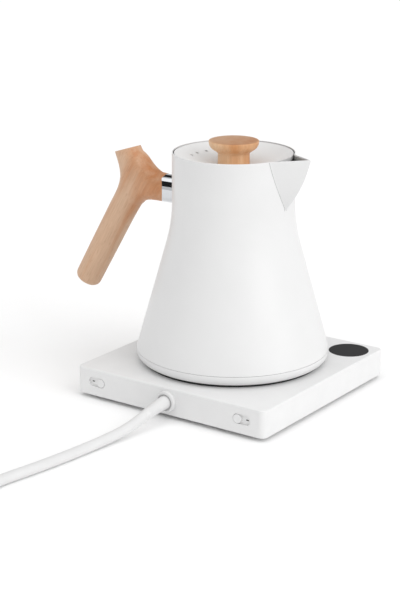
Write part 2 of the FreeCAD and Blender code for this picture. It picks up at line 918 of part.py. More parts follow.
def section_wire(x, rise, lean, radius_in, radius_across):
    """Ellipse across the handle, leaning in the plane of the handle."""
    long_radius = max(radius_in, radius_across)
    short_radius = min(radius_in, radius_across)
    ellipse = Part.Ellipse(Vector(0, 0, 0), long_radius, short_radius).toShape()
    ellipse.rotate(Vector(0, 0, 0), Vector(0, 1, 0), -lean)
    ellipse.translate(Vector(x, 0, handle_axis + rise))
    return Part.Wire(ellipse)


def handle():
    back = Part.makeLoft([section_wire(*section) for section in handle_sections], True)
    lowest = min(back.Edges, key=lambda edge: edge.BoundBox.Center.z)
    back = back.makeFillet(grip_end_fillet, [lowest])
    middle = handle_sections[2][0]
    neck = along_x(cylinder(ferrule_radius, 0, middle - ferrule_end), ferrule_end, 0,
                   handle_axis)
    neck = neck.common(ferrule_mouth(2 * middle))
    wood = back.fuse(neck).removeSplitter()
    wood = wood.cut(along_x(cylinder(bolt_radius, 0, insert_start), 0, 0, handle_axis))
    return wood.cut(along_x(cylinder(insert_radius, 0, insert_length + insert_end_gap), insert_start,
                            0, handle_axis))


def handle_insert():
    insert = along_x(cylinder(insert_radius, 0, insert_length), insert_start, 0, handle_axis)
    return insert.cut(along_x(cylinder(bolt_radius, 0, bolt_end), 0, 0, handle_axis))


def bolt_seat():
    """Where the bolt's washer lies against the inside of the neck."""
    return inner_neck_radius - bolt_washer_gap


def handle_bolt():
    head_end = bolt_seat() - washer_thickness
    head = cylinder(bolt_head_radius, 0, bolt_head_height)
    head = head.cut(cylinder(bolt_socket_radius, 0, bolt_socket_depth))
    bolt = along_x(head, head_end - bolt_head_height, 0, handle_axis)
    shank = cylinder(bolt_radius, 0, bolt_end - head_end)
    return bolt.fuse(along_x(shank, head_end, 0, handle_axis))


def bolt_washer():
    washer = ring(bolt_radius, bolt_washer_radius, 0, washer_thickness)
    return along_x(washer, bolt_seat() - washer_thickness, 0, handle_axis)


# ---------------------------------------------------------------- lid
def dish_height(radius, under=0.0):
    """Height of the lid's dished sheet at a radius, a little under its top face."""
    middle = lid_dish_bottom + lid_dish_radius
    return middle - math.sqrt((lid_dish_radius + under) ** 2 - radius ** 2)


def lid_top():
    def on_dish(radius, under):
        return Vector(radius, 0, dish_height(radius, under))

    inner = lid_screw_radius
    rim_inner = lid_radius - lid_sheet
    edges = [
        arc(on_dish(inner, 0), on_dish(lid_radius / 2, 0), on_dish(lid_radius, 0)),
        line(on_dish(lid_radius, 0), Vector(lid_radius, 0, lid_edge - lid_skirt)),
        line(Vector(lid_radius, 0, lid_edge - lid_skirt),
             Vector(rim_inner, 0, lid_edge - lid_skirt)),
        line(Vector(rim_inner, 0, lid_edge - lid_skirt), on_dish(rim_inner, lid_sheet)),
        arc(on_dish(rim_inner, lid_sheet), on_dish(rim_inner / 2, lid_sheet),
            on_dish(inner, lid_sheet)),
        line(on_dish(inner, lid_sheet), on_dish(inner, 0)),
    ]
    sheet = revolved_edges(edges)
    for turn in vent_angles:
        angle = math.radians(turn)
        sheet = sheet.cut(cylinder(vent_radius, cup_bottom, rim_height,
                                   vent_pitch_radius * math.cos(angle),
                                   vent_pitch_radius * math.sin(angle)))
    return sheet


def lid_cup():
    floor_top = cup_bottom + cup_floor
    wall_inner = cup_radius - cup_wall
    post_top = dish_height(0, lid_sheet)
    wall_top = dish_height(wall_inner, lid_sheet) - cup_under_gap
    cup = revolved([
        (lid_screw_radius, cup_bottom), (cup_radius, cup_bottom), (cup_radius, wall_top),
        (wall_inner, wall_top), (wall_inner, floor_top), (cup_post_radius, floor_top),
        (cup_post_radius, post_top), (lid_screw_radius, post_top),
    ])
    for index in range(cup_hole_count):
        angle = 2 * math.pi * index / cup_hole_count
        cup = cup.cut(cylinder(cup_hole_radius, cup_bottom, floor_top,
                               cup_hole_pitch_radius * math.cos(angle),
                               cup_hole_pitch_radius * math.sin(angle)))
    return cup


def lid_seal():
    low = cup_bottom + seal_lift
    high = low + seal_height
    lip = inner_neck_radius - seal_gap
    return revolved([
        (cup_radius, low), (lip - seal_lip_width, low + seal_lip_slope),
        (lip, high - 2 * seal_lip_height), (lip, high - seal_lip_height),
        (lip - seal_lip_width, high), (cup_radius, high),
    ])


def lid_knob():
    """Turned wooden knob, flat under its foot, with a slightly crowned head."""
    seat = dish_height(knob_neck_radius)
    over = knob_crown_height + knob_edge_round
    cove_low = knob_shoulder_height - knob_cove_drop
    cove_high = knob_shoulder_height + knob_cove_rise
    cove_middle = (cove_low + 2 * cove_high) / 3
    flare_start = knob_neck_radius + knob_cove_width

    def at(radius, rise):
        return Vector(radius, 0, seat + rise)

    outline = [
        line(at(0, 0), at(knob_neck_radius, 0)),
        line(at(knob_neck_radius, 0), at(knob_neck_radius, cove_low)),
        arc(at(knob_neck_radius, cove_low),
            at(knob_neck_radius + knob_cove_width / 4, cove_middle), at(flare_start, cove_high)),
        arc(at(flare_start, cove_high),
            at(knob_radius - knob_belly_inset, knob_belly_height - knob_belly_drop),
            at(knob_radius, knob_belly_height)),
        line(at(knob_radius, knob_belly_height), at(knob_radius, over)),
        line(at(knob_radius, over), at(0, over)),
        line(at(0, over), at(0, 0)),
    ]
    crown_middle = at(0, knob_crown_height - knob_crown_radius)
    crown = Part.makeSphere(knob_crown_radius, crown_middle, Vector(1, 0, 0))
    knob = revolved_edges(outline).common(crown)
    edge_height = seat + knob_crown_height - knob_crown_radius
    edge_height += math.sqrt(knob_crown_radius ** 2 - knob_radius ** 2)
    knob = knob.makeFillet(knob_edge_round, level_edges(knob, edge_height))
    return knob.cut(cylinder(lid_screw_radius, seat, dish_height(0) + lid_screw_bite))


def lid_screw():
    head_high = cup_bottom - washer_thickness
    head = cylinder(lid_screw_head_radius, head_high - lid_screw_head_height, head_high)
    head_low = head_high - lid_screw_head_height
    head = head.cut(cylinder(lid_screw_socket_radius, head_low,
                             head_low + lid_screw_socket_depth))
    return head.fuse(cylinder(lid_screw_radius, head_high, dish_height(0) + lid_screw_bite))


def lid_washer():
    return ring(lid_screw_radius, washer_radius, cup_bottom - washer_thickness, cup_bottom)


# ---------------------------------------------------------------- cord
def cord_grommet():
    """Collar on the rear wall with a short tapered sleeve round the cord."""
    inside = -base_wall - grommet_flange_length
    lip_round = grommet_collar_round / 2
    body = revolved([
        (cord_radius, inside), (grommet_flange_radius, inside),
        (grommet_flange_radius, -base_wall), (grommet_neck_radius, -base_wall),
        (grommet_neck_radius, 0), (grommet_collar_radius, 0),
        (grommet_collar_radius, grommet_collar_length - grommet_collar_round),
        (grommet_collar_radius - grommet_collar_round, grommet_collar_length),
        (grommet_cup_radius + lip_round, grommet_collar_length),
        (grommet_cup_radius, grommet_collar_length - lip_round),
        (sleeve_root_radius, grommet_collar_length - grommet_cup_depth),
        (sleeve_tip_radius, sleeve_reach), (cord_radius, sleeve_reach),
    ])
    return along_y(body, 0, base_half, cord_exit_height)


def cord_clamp():
    """Block inside the base that grips the cord."""
    y = base_inside - clamp_setback
    clamp = block(0, y, clamp_width, clamp_depth, board_bottom, board_bottom + clamp_height)
    clamp = clamp.cut(along_y(cylinder(cord_radius, 0, 2 * clamp_depth), 0, y - clamp_depth,
                              cord_exit_height))
    for side in (-1, 1):
        clamp = clamp.cut(cylinder(screw_radius, board_bottom, board_bottom + clamp_height,
                                   side * clamp_screw_spread, y))
    return clamp


def clamp_screws():
    y = base_inside - clamp_setback
    top = board_bottom + clamp_height
    screws = []
    for side in (-1, 1):
        x = side * clamp_screw_spread
        shank = cylinder(screw_radius, cover_top, top, x, y)
        head = cylinder(screw_head_radius, top, top + screw_head_height, x, y)
        screws.append(head.fuse(shank))
    return Part.makeCompound(screws)


def tube_along(name, points, radius):
    """Tube of straight runs joined by tangent arcs, with a check of its volume."""
    edges = []
    radii = []
    start = points[0]
    for before, here, after in zip(points, points[1:], points[2:]):
        came = (here - before).normalize()
        goes = (after - here).normalize()
        half_turn = came.getAngle(goes) / 2
        shorter = min((here - before).Length, (after - here).Length)
        cut_back = bend_share * shorter
        radii.append(cut_back / math.tan(half_turn))
        first = here - came * cut_back
        last = here + goes * cut_back
        inward = (goes - came).normalize()
        sagitta_place = here + inward * (radii[-1] / math.cos(half_turn) - radii[-1])
        edges.append(line(start, first))
        edges.append(arc(first, sagitta_place, last))
        start = last
    edges.append(line(start, points[-1]))
    path = Part.Wire(edges)
    heading = (points[1] - points[0]).normalize()
    section = Part.Wire(Part.makeCircle(radius, points[0], heading))
    tube = path.makePipeShell([section], True, False)
    expected = math.pi * radius ** 2 * path.Length
    print(name, "length", round(path.Length, 1), "bend radii",
          [round(value) for value in radii], "volume ratio",
          round(tube.Volume / expected, 4))
    return tube


def cord_coil():
    """Outer shape of the cord's turns, lying on the floor."""
    return ring(coil_inner_radius, coil_outer_radius, 0, coil_height,
                coil_centre.x, coil_centre.y)


def cord_tie():
    """Strap over the coil, on its far side from where the cord comes in."""
    y_low = coil_centre.y - tie_width / 2
    y_high = coil_centre.y + tie_width / 2
    strap = box(coil_centre.x + coil_inner_radius - 2 * tie_thickness,
                coil_centre.x + coil_outer_radius + tie_thickness, y_low, y_high, 0,
                coil_height + tie_thickness)
    return strap.cut(cord_coil())


def plug_body():
    start = tail_points[-1]
    relief = Part.makeCone(plug_relief_tip_radius, plug_relief_root_radius,
                           plug_relief_length)
    relief = along_y(relief, start.x, start.y, start.z)
    near = start.y + plug_relief_length
    body = box(start.x - plug_width / 2, start.x + plug_width / 2, near,
               near + plug_length, start.z - plug_height / 2, start.z + plug_height / 2)
    lengthwise = [e for e in body.Edges if abs(e.tangentAt(e.FirstParameter).y) > 0.9]
    body = body.makeFillet(plug_fillet, lengthwise)
    return body.fuse(relief)


def plug_blades():
    start = tail_points[-1]
    near = start.y + plug_relief_length + plug_length
    pins = []
    for side in (-1, 1):
        x = start.x + side * blade_spread
        pins.append(box(x - blade_width / 2, x + blade_width / 2, near,
                        near + blade_length, start.z + blade_rise - blade_height / 2,
                        start.z + blade_rise + blade_height / 2))
    ground = cylinder(ground_radius, 0, ground_length)
    pins.append(along_y(ground, start.x, near, start.z - ground_drop))
    return Part.makeCompound(pins)


# ---------------------------------------------------------------- all nodes
def build_base():
    save("base_housing", base_housing())
    save("base_bottom_cover", base_bottom_cover())
    save("rubber_feet", rubber_feet())
    save("base_screws", base_screws())
    save("display_lens", display_lens())
    save("display_module", display_module())
    save("front_board", front_board())
    save("encoder_body", encoder_body())
    save("encoder_shaft", encoder_shaft())
    save("dial_knob", dial_knob())
    save("main_board", main_board())
    for name, shape in board_parts():
        save(name, shape)
    save("buzzer", buzzer())
    save("unit_switch_body", switch_body(1))
    save("hold_switch_body", switch_body(-1))
    save("unit_slider", slider(1))
    save("hold_slider", slider(-1))
    save("base_connector", base_connector())
    save("connector_contacts", connector_contacts())


def build_kettle():
    save("coupler_socket", coupler_socket())
    save("socket_contacts", socket_contacts())
    save("body_shell", body_shell())
    save("spout", spout())
    save("bottom_band", bottom_band())
    save("kettle_bottom_cover", kettle_bottom_cover())
    save("bottom_cover_screws", bottom_cover_screws())
    save("heater_posts", heater_posts())
    save("vessel_floor", vessel_floor_plate())
    save("heat_spreader", heat_spreader())
    save("heating_element", heating_element())
    save("thermal_cutout", thermal_cutout())
    save("temperature_probe", temperature_probe())
    save("probe_seal", probe_seal())
    save("handle_ferrule", handle_ferrule())
    save("handle", handle())
    save("handle_insert", handle_insert())
    save("handle_bolt", handle_bolt())
    save("bolt_washer", bolt_washer())


def build_lid():
    save("lid_top", lid_top())
    save("lid_cup", lid_cup())
    save("lid_seal", lid_seal())
    save("lid_knob", lid_knob())
    save("lid_screw", lid_screw())
    save("lid_washer", lid_washer())


def build_cord():
    save("cord_grommet", cord_grommet())
    save("cord_clamp", cord_clamp())
    save("clamp_screws", clamp_screws())
    save("power_cord", tube_along("power_cord", cord_points, cord_radius))
    save("cord_coil", cord_coil())
    save("cord_tie", cord_tie())
    save("cord_tail", tube_along("cord_tail", tail_points, cord_radius))
    save("plug_body", plug_body())
    save("plug_blades", plug_blades())


os.makedirs("parts", exist_ok=True)
build_base()
build_kettle()
build_lid()
build_cord()
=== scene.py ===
import json
import logging
import math
from dataclasses import dataclass
from enum import Enum
from typing import Any, Sequence

import bmesh
import bpy
from mathutils import Matrix, Vector


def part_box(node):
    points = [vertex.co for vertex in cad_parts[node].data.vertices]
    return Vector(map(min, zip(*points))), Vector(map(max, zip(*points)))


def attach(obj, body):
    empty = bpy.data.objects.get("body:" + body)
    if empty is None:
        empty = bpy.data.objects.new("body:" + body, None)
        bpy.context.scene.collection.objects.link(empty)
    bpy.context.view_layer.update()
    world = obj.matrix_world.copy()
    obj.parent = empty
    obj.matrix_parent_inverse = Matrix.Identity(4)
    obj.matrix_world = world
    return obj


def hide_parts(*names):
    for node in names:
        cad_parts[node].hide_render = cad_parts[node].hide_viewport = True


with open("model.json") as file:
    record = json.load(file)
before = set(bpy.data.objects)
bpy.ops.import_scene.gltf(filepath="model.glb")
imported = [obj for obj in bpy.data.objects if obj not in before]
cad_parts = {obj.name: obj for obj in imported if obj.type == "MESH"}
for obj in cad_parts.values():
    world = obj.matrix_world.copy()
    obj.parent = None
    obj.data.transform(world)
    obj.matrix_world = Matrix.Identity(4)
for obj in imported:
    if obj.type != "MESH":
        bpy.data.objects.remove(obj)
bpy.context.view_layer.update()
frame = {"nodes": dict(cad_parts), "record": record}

# Looks of an electric pouring kettle on its square powered base. Metres, +Z up, with the
# origin on the floor under the middle of the base. The spout points to -X, the handle
# to +X, the controls are along the front edge (-Y) and the mains cord leaves the rear
# edge (+Y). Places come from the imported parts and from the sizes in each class.

LOG = logging.getLogger("kettle")
MM = 0.001
MERGE_GAP = 0.002 * MM
# A face looks along an axis when its normal has more than this share along it.
FACING = 0.99
# Sockets of the Mix node when it mixes colours.
MIX_FIRST, MIX_SECOND, MIX_RESULT = 6, 7, 2
# A wave texture of scale 1 repeats after this much of its coordinate.
WAVE_REPEAT = 0.314

Point = tuple[float, float]
Route = Sequence[tuple[float, float, float]]


class Body(Enum):
    """The bodies that new pieces ride on."""

    BASE = "base"
    KETTLE = "kettle"
    LID = "lid"


class Slot(Enum):
    """The record's material slots."""

    BODY_PAINT = "body_paint"
    BASE_PLASTIC = "base_plastic"
    HANDLE_WOOD = "handle_wood"
    FERRULE_CHROME = "ferrule_chrome"
    BARE_STEEL = "bare_steel"
    DARK_PLASTIC = "dark_plastic"
    DISPLAY_GLASS = "display_glass"
    FOOT_RUBBER = "foot_rubber"
    SEAL_RUBBER = "seal_rubber"
    SCREW_STEEL = "screw_steel"
    CONTACT_BRASS = "contact_brass"
    SPREADER_ALUMINIUM = "spreader_aluminium"
    BOARD = "board"
    CORD_VINYL = "cord_vinyl"
    TIE_FABRIC = "tie_fabric"


# ---------------------------------------------------------------- material tools
def linear(colour: str) -> tuple[float, float, float, float]:
    """Turn an sRGB hex colour into linear light.

    Args:
        colour: The colour as "#RRGGBB".

    Returns:
        Red, green, blue and an alpha of 1, linear.
    """
    shares = [int(colour[place:place + 2], 16) / 255 for place in (1, 3, 5)]
    light = [share / 12.92 if share <= 0.04045 else ((share + 0.055) / 1.055) ** 2.4
             for share in shares]
    return (light[0], light[1], light[2], 1.0)


def add(tree: bpy.types.NodeTree, kind: str, settings: dict[str, Any] | None = None,
        links: dict[str | int, bpy.types.NodeSocket] | None = None) -> bpy.types.Node:
    """Add one node to a material's tree.

    Args:
        tree: The tree that the node joins.
        kind: The node's type, without the leading "ShaderNode".
        settings: Attributes of the node and values of its inputs, by name. "stops"
            gives a colour ramp's places and colours.
        links: Sockets that feed the node's inputs, by the input's name or number.

    Returns:
        The new node.
    """
    node = tree.nodes.new("ShaderNode" + kind)
    for key, value in (settings or {}).items():
        if key == "stops":
            elements = node.color_ramp.elements
            while len(elements) < len(value):
                elements.new(1.0)
            for element, (place, colour) in zip(elements, value):
                element.position = place
                element.color = colour
        elif hasattr(node, key):
            setattr(node, key, value)
        else:
            node.inputs[key].default_value = value
    for key, socket in (links or {}).items():
        tree.links.new(socket, node.inputs[key])
    return node


@dataclass(frozen=True)
class Finish:
    """What a surface is made of and how it was made."""

    name: str
    colour: str

    def material(self) -> bpy.types.Material:
        """Give this finish as a material, made the first time it is asked for.

        Returns:
            The material.
        """
        made = bpy.data.materials.get(self.name)
        if made is None:
            made = bpy.data.materials.new(self.name)
            made.use_nodes = True
            made.node_tree.nodes.clear()
            shader = self.shade(made.node_tree)
            add(made.node_tree, "OutputMaterial", {}, {"Surface": shader.outputs["BSDF"]})
        return made

    def shade(self, tree: bpy.types.NodeTree) -> bpy.types.Node:
        """Build the shader of this finish; each kind of finish has its own."""
        raise NotImplementedError(self.name)


@dataclass(frozen=True)
class Moulded(Finish):
    """Moulded plastic or rubber: spark-eroded grain, slight mottling, soft highlight."""

    roughness: float = 0.45
    ior: float = 1.5
    grain: float = 0.5 * MM
    depth: float = 0.02 * MM
    mottle: float = 0.03
    gloss: float = 0.5
    cloud_width: float = 14 * MM
    rough_spread: float = 0.04

    def shade(self, tree: bpy.types.NodeTree) -> bpy.types.Node:
        """Build the shader.

        Args:
            tree: The material's tree.

        Returns:
            The shader node.
        """
        place = add(tree, "TexCoord").outputs["Object"]
        grain = add(tree, "TexNoise", {"Scale": 1 / self.grain, "Detail": 2.0},
                    {"Vector": place})
        cloud = add(tree, "TexNoise", {"Scale": 1 / self.cloud_width, "Detail": 3.0},
                    {"Vector": place})
        base = linear(self.colour)
        shade = tuple(part * (1 - self.mottle) for part in base[:3]) + (1.0,)
        colour = add(tree, "ValToRGB", {"stops": [(0.3, shade), (0.7, base)]},
                     {"Fac": cloud.outputs["Fac"]})
        rough = add(tree, "MapRange", {"To Min": self.roughness - self.rough_spread,
                                       "To Max": self.roughness + self.rough_spread},
                    {"Value": grain.outputs["Fac"]})
        bump = add(tree, "Bump", {"Strength": 0.6, "Distance": self.depth},
                   {"Height": grain.outputs["Fac"]})
        return add(tree, "BsdfPrincipled",
                   {"IOR": self.ior, "Specular IOR Level": self.gloss},
                   {"Base Color": colour.outputs["Color"],
                    "Roughness": rough.outputs["Result"], "Normal": bump.outputs["Normal"]})


@dataclass(frozen=True)
class PowderCoat(Finish):
    """Polyester powder baked on steel: satin, with a fine orange peel."""

    roughness: float = 0.38
    peel: float = 1.6 * MM
    depth: float = 0.03 * MM
    cloud_width: float = 30 * MM
    cloud_shade: float = 0.975
    rough_spread: float = 0.05

    def shade(self, tree: bpy.types.NodeTree) -> bpy.types.Node:
        """Build the shader.

        Args:
            tree: The material's tree.

        Returns:
            The shader node.
        """
        place = add(tree, "TexCoord").outputs["Object"]
        peel = add(tree, "TexNoise", {"Scale": 1 / self.peel, "Detail": 1.0},
                   {"Vector": place})
        cloud = add(tree, "TexNoise", {"Scale": 1 / self.cloud_width, "Detail": 2.0},
                    {"Vector": place})
        base = linear(self.colour)
        shade = tuple(part * self.cloud_shade for part in base[:3]) + (1.0,)
        colour = add(tree, "ValToRGB", {"stops": [(0.25, shade), (0.75, base)]},
                     {"Fac": cloud.outputs["Fac"]})
        rough = add(tree, "MapRange", {"To Min": self.roughness - self.rough_spread,
                                       "To Max": self.roughness + self.rough_spread},
                    {"Value": peel.outputs["Fac"]})
        bump = add(tree, "Bump", {"Strength": 0.5, "Distance": self.depth},
                   {"Height": peel.outputs["Fac"]})
        return add(tree, "BsdfPrincipled", {"IOR": 1.52},
                   {"Base Color": colour.outputs["Color"],
                    "Roughness": rough.outputs["Result"], "Normal": bump.outputs["Normal"]})


@dataclass(frozen=True)
class OiledBeech(Finish):
    """Steamed beech, turned or shaped, sanded and oiled: close straight grain, warm
    bands where it is denser, and the short dark flecks that beech shows."""

    warm: str = "#C4895C"
    fleck: str = "#9A6644"
    lean: float = 0.0
    heart_start: float = 0.0
    heart_width: float = 0.025
    end_grain: float = 1.0
    band: float = 7.0 * MM
    fibre: float = 0.8 * MM
    fleck_width: float = 0.4 * MM
    fleck_length: float = 3.0 * MM
    band_stretch: float = 0.08
    fibre_stretch: float = 0.05
    heart_depth: float = 0.22
    end_grain_edge: float = 0.5 * MM
    end_grain_shade: float = 0.55

    def shade(self, tree: bpy.types.NodeTree) -> bpy.types.Node:
        """Build the shader.

        Args:
            tree: The material's tree.

        Returns:
            The shader node.
        """
        place = add(tree, "TexCoord").outputs["Object"]
        along = add(tree, "Mapping", {"Rotation": (0.0, math.radians(self.lean), 0.0)},
                    {"Vector": place}).outputs["Vector"]
        across = add(tree, "SeparateXYZ", {}, {"Vector": place})
        heart = add(tree, "MapRange", {"From Min": self.heart_start,
                                       "From Max": self.heart_start - self.heart_width,
                                       "To Min": -self.heart_depth, "To Max": self.heart_depth},
                    {"Value": across.outputs["X"]})
        slow = add(tree, "Mapping", {"Scale": (1.0, 1.0, self.band_stretch)}, {"Vector": along})
        bands = add(tree, "TexNoise", {"Scale": 1 / self.band, "Detail": 3.0,
                                       "Roughness": 0.5}, {"Vector": slow.outputs["Vector"]})
        density = add(tree, "Math", {"operation": "ADD"},
                      {0: bands.outputs["Fac"], 1: heart.outputs["Result"]})
        fine = add(tree, "Mapping", {"Scale": (1.0, 1.0, self.fibre_stretch)}, {"Vector": along})
        fibres = add(tree, "TexNoise", {"Scale": 1 / self.fibre, "Detail": 4.0,
                                        "Roughness": 0.6}, {"Vector": fine.outputs["Vector"]})
        slit = add(tree, "Mapping",
                   {"Scale": (1.0, 1.0, self.fleck_width / self.fleck_length)},
                   {"Vector": along})
        flecks = add(tree, "TexNoise", {"Scale": 0.5 / self.fleck_width, "Detail": 0.0},
                     {"Vector": slit.outputs["Vector"]})
        pale = linear(self.colour)
        tone = add(tree, "ValToRGB", {"stops": [(0.3, pale), (0.85, linear(self.warm))]},
                   {"Fac": density.outputs["Value"]})
        cut = add(tree, "MapRange", {"From Min": self.end_grain,
                                     "From Max": self.end_grain + self.end_grain_edge,
                                     "To Max": self.end_grain_shade}, {"Value": across.outputs["Z"]})
        darker = add(tree, "Mix", {"data_type": "RGBA"}, {0: cut.outputs["Result"]})
        tree.links.new(tone.outputs["Color"], darker.inputs[MIX_FIRST])
        darker.inputs[MIX_SECOND].default_value = linear(self.fleck)
        line = add(tree, "ValToRGB", {"stops": [(0.35, (0.82, 0.79, 0.76, 1.0)),
                                                (0.62, (1.0, 1.0, 1.0, 1.0))]},
                   {"Fac": fibres.outputs["Fac"]})
        grained = add(tree, "Mix", {"data_type": "RGBA", "blend_type": "MULTIPLY",
                                    "Factor": 0.55})
        tree.links.new(darker.outputs[MIX_RESULT], grained.inputs[MIX_FIRST])
        tree.links.new(line.outputs["Color"], grained.inputs[MIX_SECOND])
        spots = add(tree, "ValToRGB", {"stops": [(0.66, (0.0, 0.0, 0.0, 1.0)),
                                                 (0.8, (0.22, 0.22, 0.22, 1.0))]},
                    {"Fac": flecks.outputs["Fac"]})
        flecked = add(tree, "Mix", {"data_type": "RGBA"}, {0: spots.outputs["Color"]})
        tree.links.new(grained.outputs[MIX_RESULT], flecked.inputs[MIX_FIRST])
        flecked.inputs[MIX_SECOND].default_value = linear(self.fleck)
        rough = add(tree, "MapRange", {"To Min": 0.42, "To Max": 0.58},
                    {"Value": fibres.outputs["Fac"]})
        bump = add(tree, "Bump", {"Strength": 0.35, "Distance": 0.04 * MM},
                   {"Height": fibres.outputs["Fac"]})
        return add(tree, "BsdfPrincipled", {"IOR": 1.5},
                   {"Base Color": flecked.outputs[MIX_RESULT],
                    "Roughness": rough.outputs["Result"], "Normal": bump.outputs["Normal"]})


@dataclass(frozen=True)
class Metal(Finish):
    """Bare or plated metal: polished, brushed, drawn or rolled. Its lines run along one
    axis, and a polished one has only faint wipe marks."""

    roughness: float = 0.3
    line: float = 0.35 * MM
    stretch: tuple[float, float, float] = (1.0, 1.0, 0.03)
    depth: float = 0.006 * MM
    spread: float = 0.08
    line_shade: float = 0.9

    def shade(self, tree: bpy.types.NodeTree) -> bpy.types.Node:
        """Build the shader.

        Args:
            tree: The material's tree.

        Returns:
            The shader node.
        """
        place = add(tree, "TexCoord").outputs["Object"]
        drawn = add(tree, "Mapping", {"Scale": self.stretch}, {"Vector": place})
        lines = add(tree, "TexNoise", {"Scale": 1 / self.line, "Detail": 3.0},
                    {"Vector": drawn.outputs["Vector"]})
        base = linear(self.colour)
        shade = tuple(part * self.line_shade for part in base[:3]) + (1.0,)
        colour = add(tree, "ValToRGB", {"stops": [(0.3, shade), (0.7, base)]},
                     {"Fac": lines.outputs["Fac"]})
        rough = add(tree, "MapRange", {"To Min": max(0.02, self.roughness - self.spread),
                                       "To Max": self.roughness + self.spread},
                    {"Value": lines.outputs["Fac"]})
        bump = add(tree, "Bump", {"Strength": 0.4, "Distance": self.depth},
                   {"Height": lines.outputs["Fac"]})
        return add(tree, "BsdfPrincipled", {"Metallic": 1.0},
                   {"Base Color": colour.outputs["Color"],
                    "Roughness": rough.outputs["Result"], "Normal": bump.outputs["Normal"]})


@dataclass(frozen=True)
class Woven(Finish):
    """Woven nylon strap: crossing threads with a dull sheen."""

    thread: float = 0.9 * MM
    gap_shade: float = 0.7

    def shade(self, tree: bpy.types.NodeTree) -> bpy.types.Node:
        """Build the shader.

        Args:
            tree: The material's tree.

        Returns:
            The shader node.
        """
        place = add(tree, "TexCoord").outputs["Object"]
        warp = add(tree, "TexWave", {"bands_direction": "X", "Scale": WAVE_REPEAT / self.thread,
                                     "Distortion": 0.4}, {"Vector": place})
        weft = add(tree, "TexWave", {"bands_direction": "Y", "Scale": WAVE_REPEAT / self.thread,
                                     "Distortion": 0.4}, {"Vector": place})
        cross = add(tree, "Math", {"operation": "MULTIPLY"},
                    {0: warp.outputs["Fac"], 1: weft.outputs["Fac"]})
        base = linear(self.colour)
        shade = tuple(part * self.gap_shade for part in base[:3]) + (1.0,)
        colour = add(tree, "ValToRGB", {"stops": [(0.0, shade), (0.6, base)]},
                     {"Fac": cross.outputs["Value"]})
        bump = add(tree, "Bump", {"Strength": 0.8, "Distance": 0.15 * MM},
                   {"Height": cross.outputs["Value"]})
        return add(tree, "BsdfPrincipled", {"Roughness": 0.8, "IOR": 1.53},
                   {"Base Color": colour.outputs["Color"], "Normal": bump.outputs["Normal"]})


@dataclass(frozen=True)
class BoardLacquer(Finish):
    """Green solder lacquer on a glass-fibre board, lighter where copper runs under it."""

    track: float = 2.2 * MM
    copper: str = "#2E7A45"

    def shade(self, tree: bpy.types.NodeTree) -> bpy.types.Node:
        """Build the shader.

        Args:
            tree: The material's tree.

        Returns:
            The shader node.
        """
        place = add(tree, "TexCoord").outputs["Object"]
        cells = add(tree, "TexVoronoi", {"distance": "CHEBYCHEV", "feature": "F1",
                                         "Scale": 1 / self.track}, {"Vector": place})
        colour = add(tree, "ValToRGB", {"stops": [(0.32, linear(self.copper)),
                                                  (0.38, linear(self.colour))]},
                     {"Fac": cells.outputs["Distance"]})
        bump = add(tree, "Bump", {"Strength": 0.4, "Distance": 0.05 * MM, "invert": True},
                   {"Height": cells.outputs["Distance"]})
        return add(tree, "BsdfPrincipled", {"Roughness": 0.3, "IOR": 1.5},
                   {"Base Color": colour.outputs["Color"], "Normal": bump.outputs["Normal"]})


# Powder coat melts into a satin skin that hides the steel and has a faint orange peel.
WHITE_COAT = PowderCoat("white_powder_coated_steel", "#E3E3E3")
# Painted shade: grey paint for the thin lines along the spout's folds, standing in for the shade
# that falls in those creases.
PAINTED_FOLD_SHADE = PowderCoat("painted_shade_in_fold", "#8E8E8E")
# ABS and polypropylene are moulded against a spark-eroded tool, which leaves a fine
# matte grain; vinyl and silicone are softer and duller.
WHITE_ABS = Moulded("white_moulded_abs", "#E6E6E6", 0.42, 1.53)
# Oil leaves beech warm and nearly matte. The grip's grain leans with the grip, and the
# knob's top is end grain, which takes up more oil and looks darker.
GRIP_BEECH = OiledBeech("oiled_beech_grip", "#D5B193", "#C27F4C", lean=30.6,
                        heart_start=0.103)
KNOB_BEECH = OiledBeech("oiled_beech_turned_knob", "#EBC49C", "#D2945F",
                        heart_start=0.012, end_grain=0.1942)
# Polished chromium mirrors what is round it; brushed steel smears it along the lines.
CHROME = Metal("chromium_plated_brass", "#DADCDF", 0.05, 6 * MM, (1.0, 1.0, 1.0),
               0.001 * MM, 0.025)
BRUSHED_STEEL = Metal("brushed_stainless_steel", "#C2C2C0", 0.36)
BLACK_PLASTIC = Moulded("black_moulded_polypropylene", "#161617", 0.55, 1.49)
MARK_INK = Moulded("grey_printed_ink", "#3A3A3A", 0.6, 1.5)
# The display window is taken as etched and coated, so it shows next to no gloss.
TINTED_ACRYLIC = Moulded("smoke_tinted_acrylic", "#2B2B2C", 0.32, 1.49, 0.9 * MM,
                         0.002 * MM, 0.04, 0.03)
GREY_RUBBER = Moulded("grey_foot_rubber", "#8C8C8A", 0.75, 1.52)
BLACK_SILICONE = Moulded("black_silicone_seal", "#2A2A2A", 0.6, 1.43)
# Zinc plate is pale and cloudy; drawn brass and rolled aluminium keep faint lines.
ZINC_STEEL = Metal("zinc_plated_steel", "#B4B6B8", 0.28, 1.2 * MM, (1.0, 1.0, 1.0))
DRAWN_BRASS = Metal("drawn_contact_brass", "#D8B45E", 0.3)
ROLLED_ALUMINIUM = Metal("rolled_aluminium", "#C4C5C7", 0.35, 0.5 * MM, (1.0, 0.04, 1.0))
GREEN_BOARD = BoardLacquer("green_lacquered_board", "#14532A")
WHITE_VINYL = Moulded("white_cord_vinyl", "#DDDDDD", 0.36, 1.54, 1.2 * MM, 0.02 * MM)
WHITE_STRAP = Woven("white_woven_nylon", "#E4E4E0")
WHITE_PAPER = Moulded("white_paper", "#FBFBFB", 0.9, mottle=0.005)
BLACK_CARD = Moulded("black_card", "#050505", 0.9)

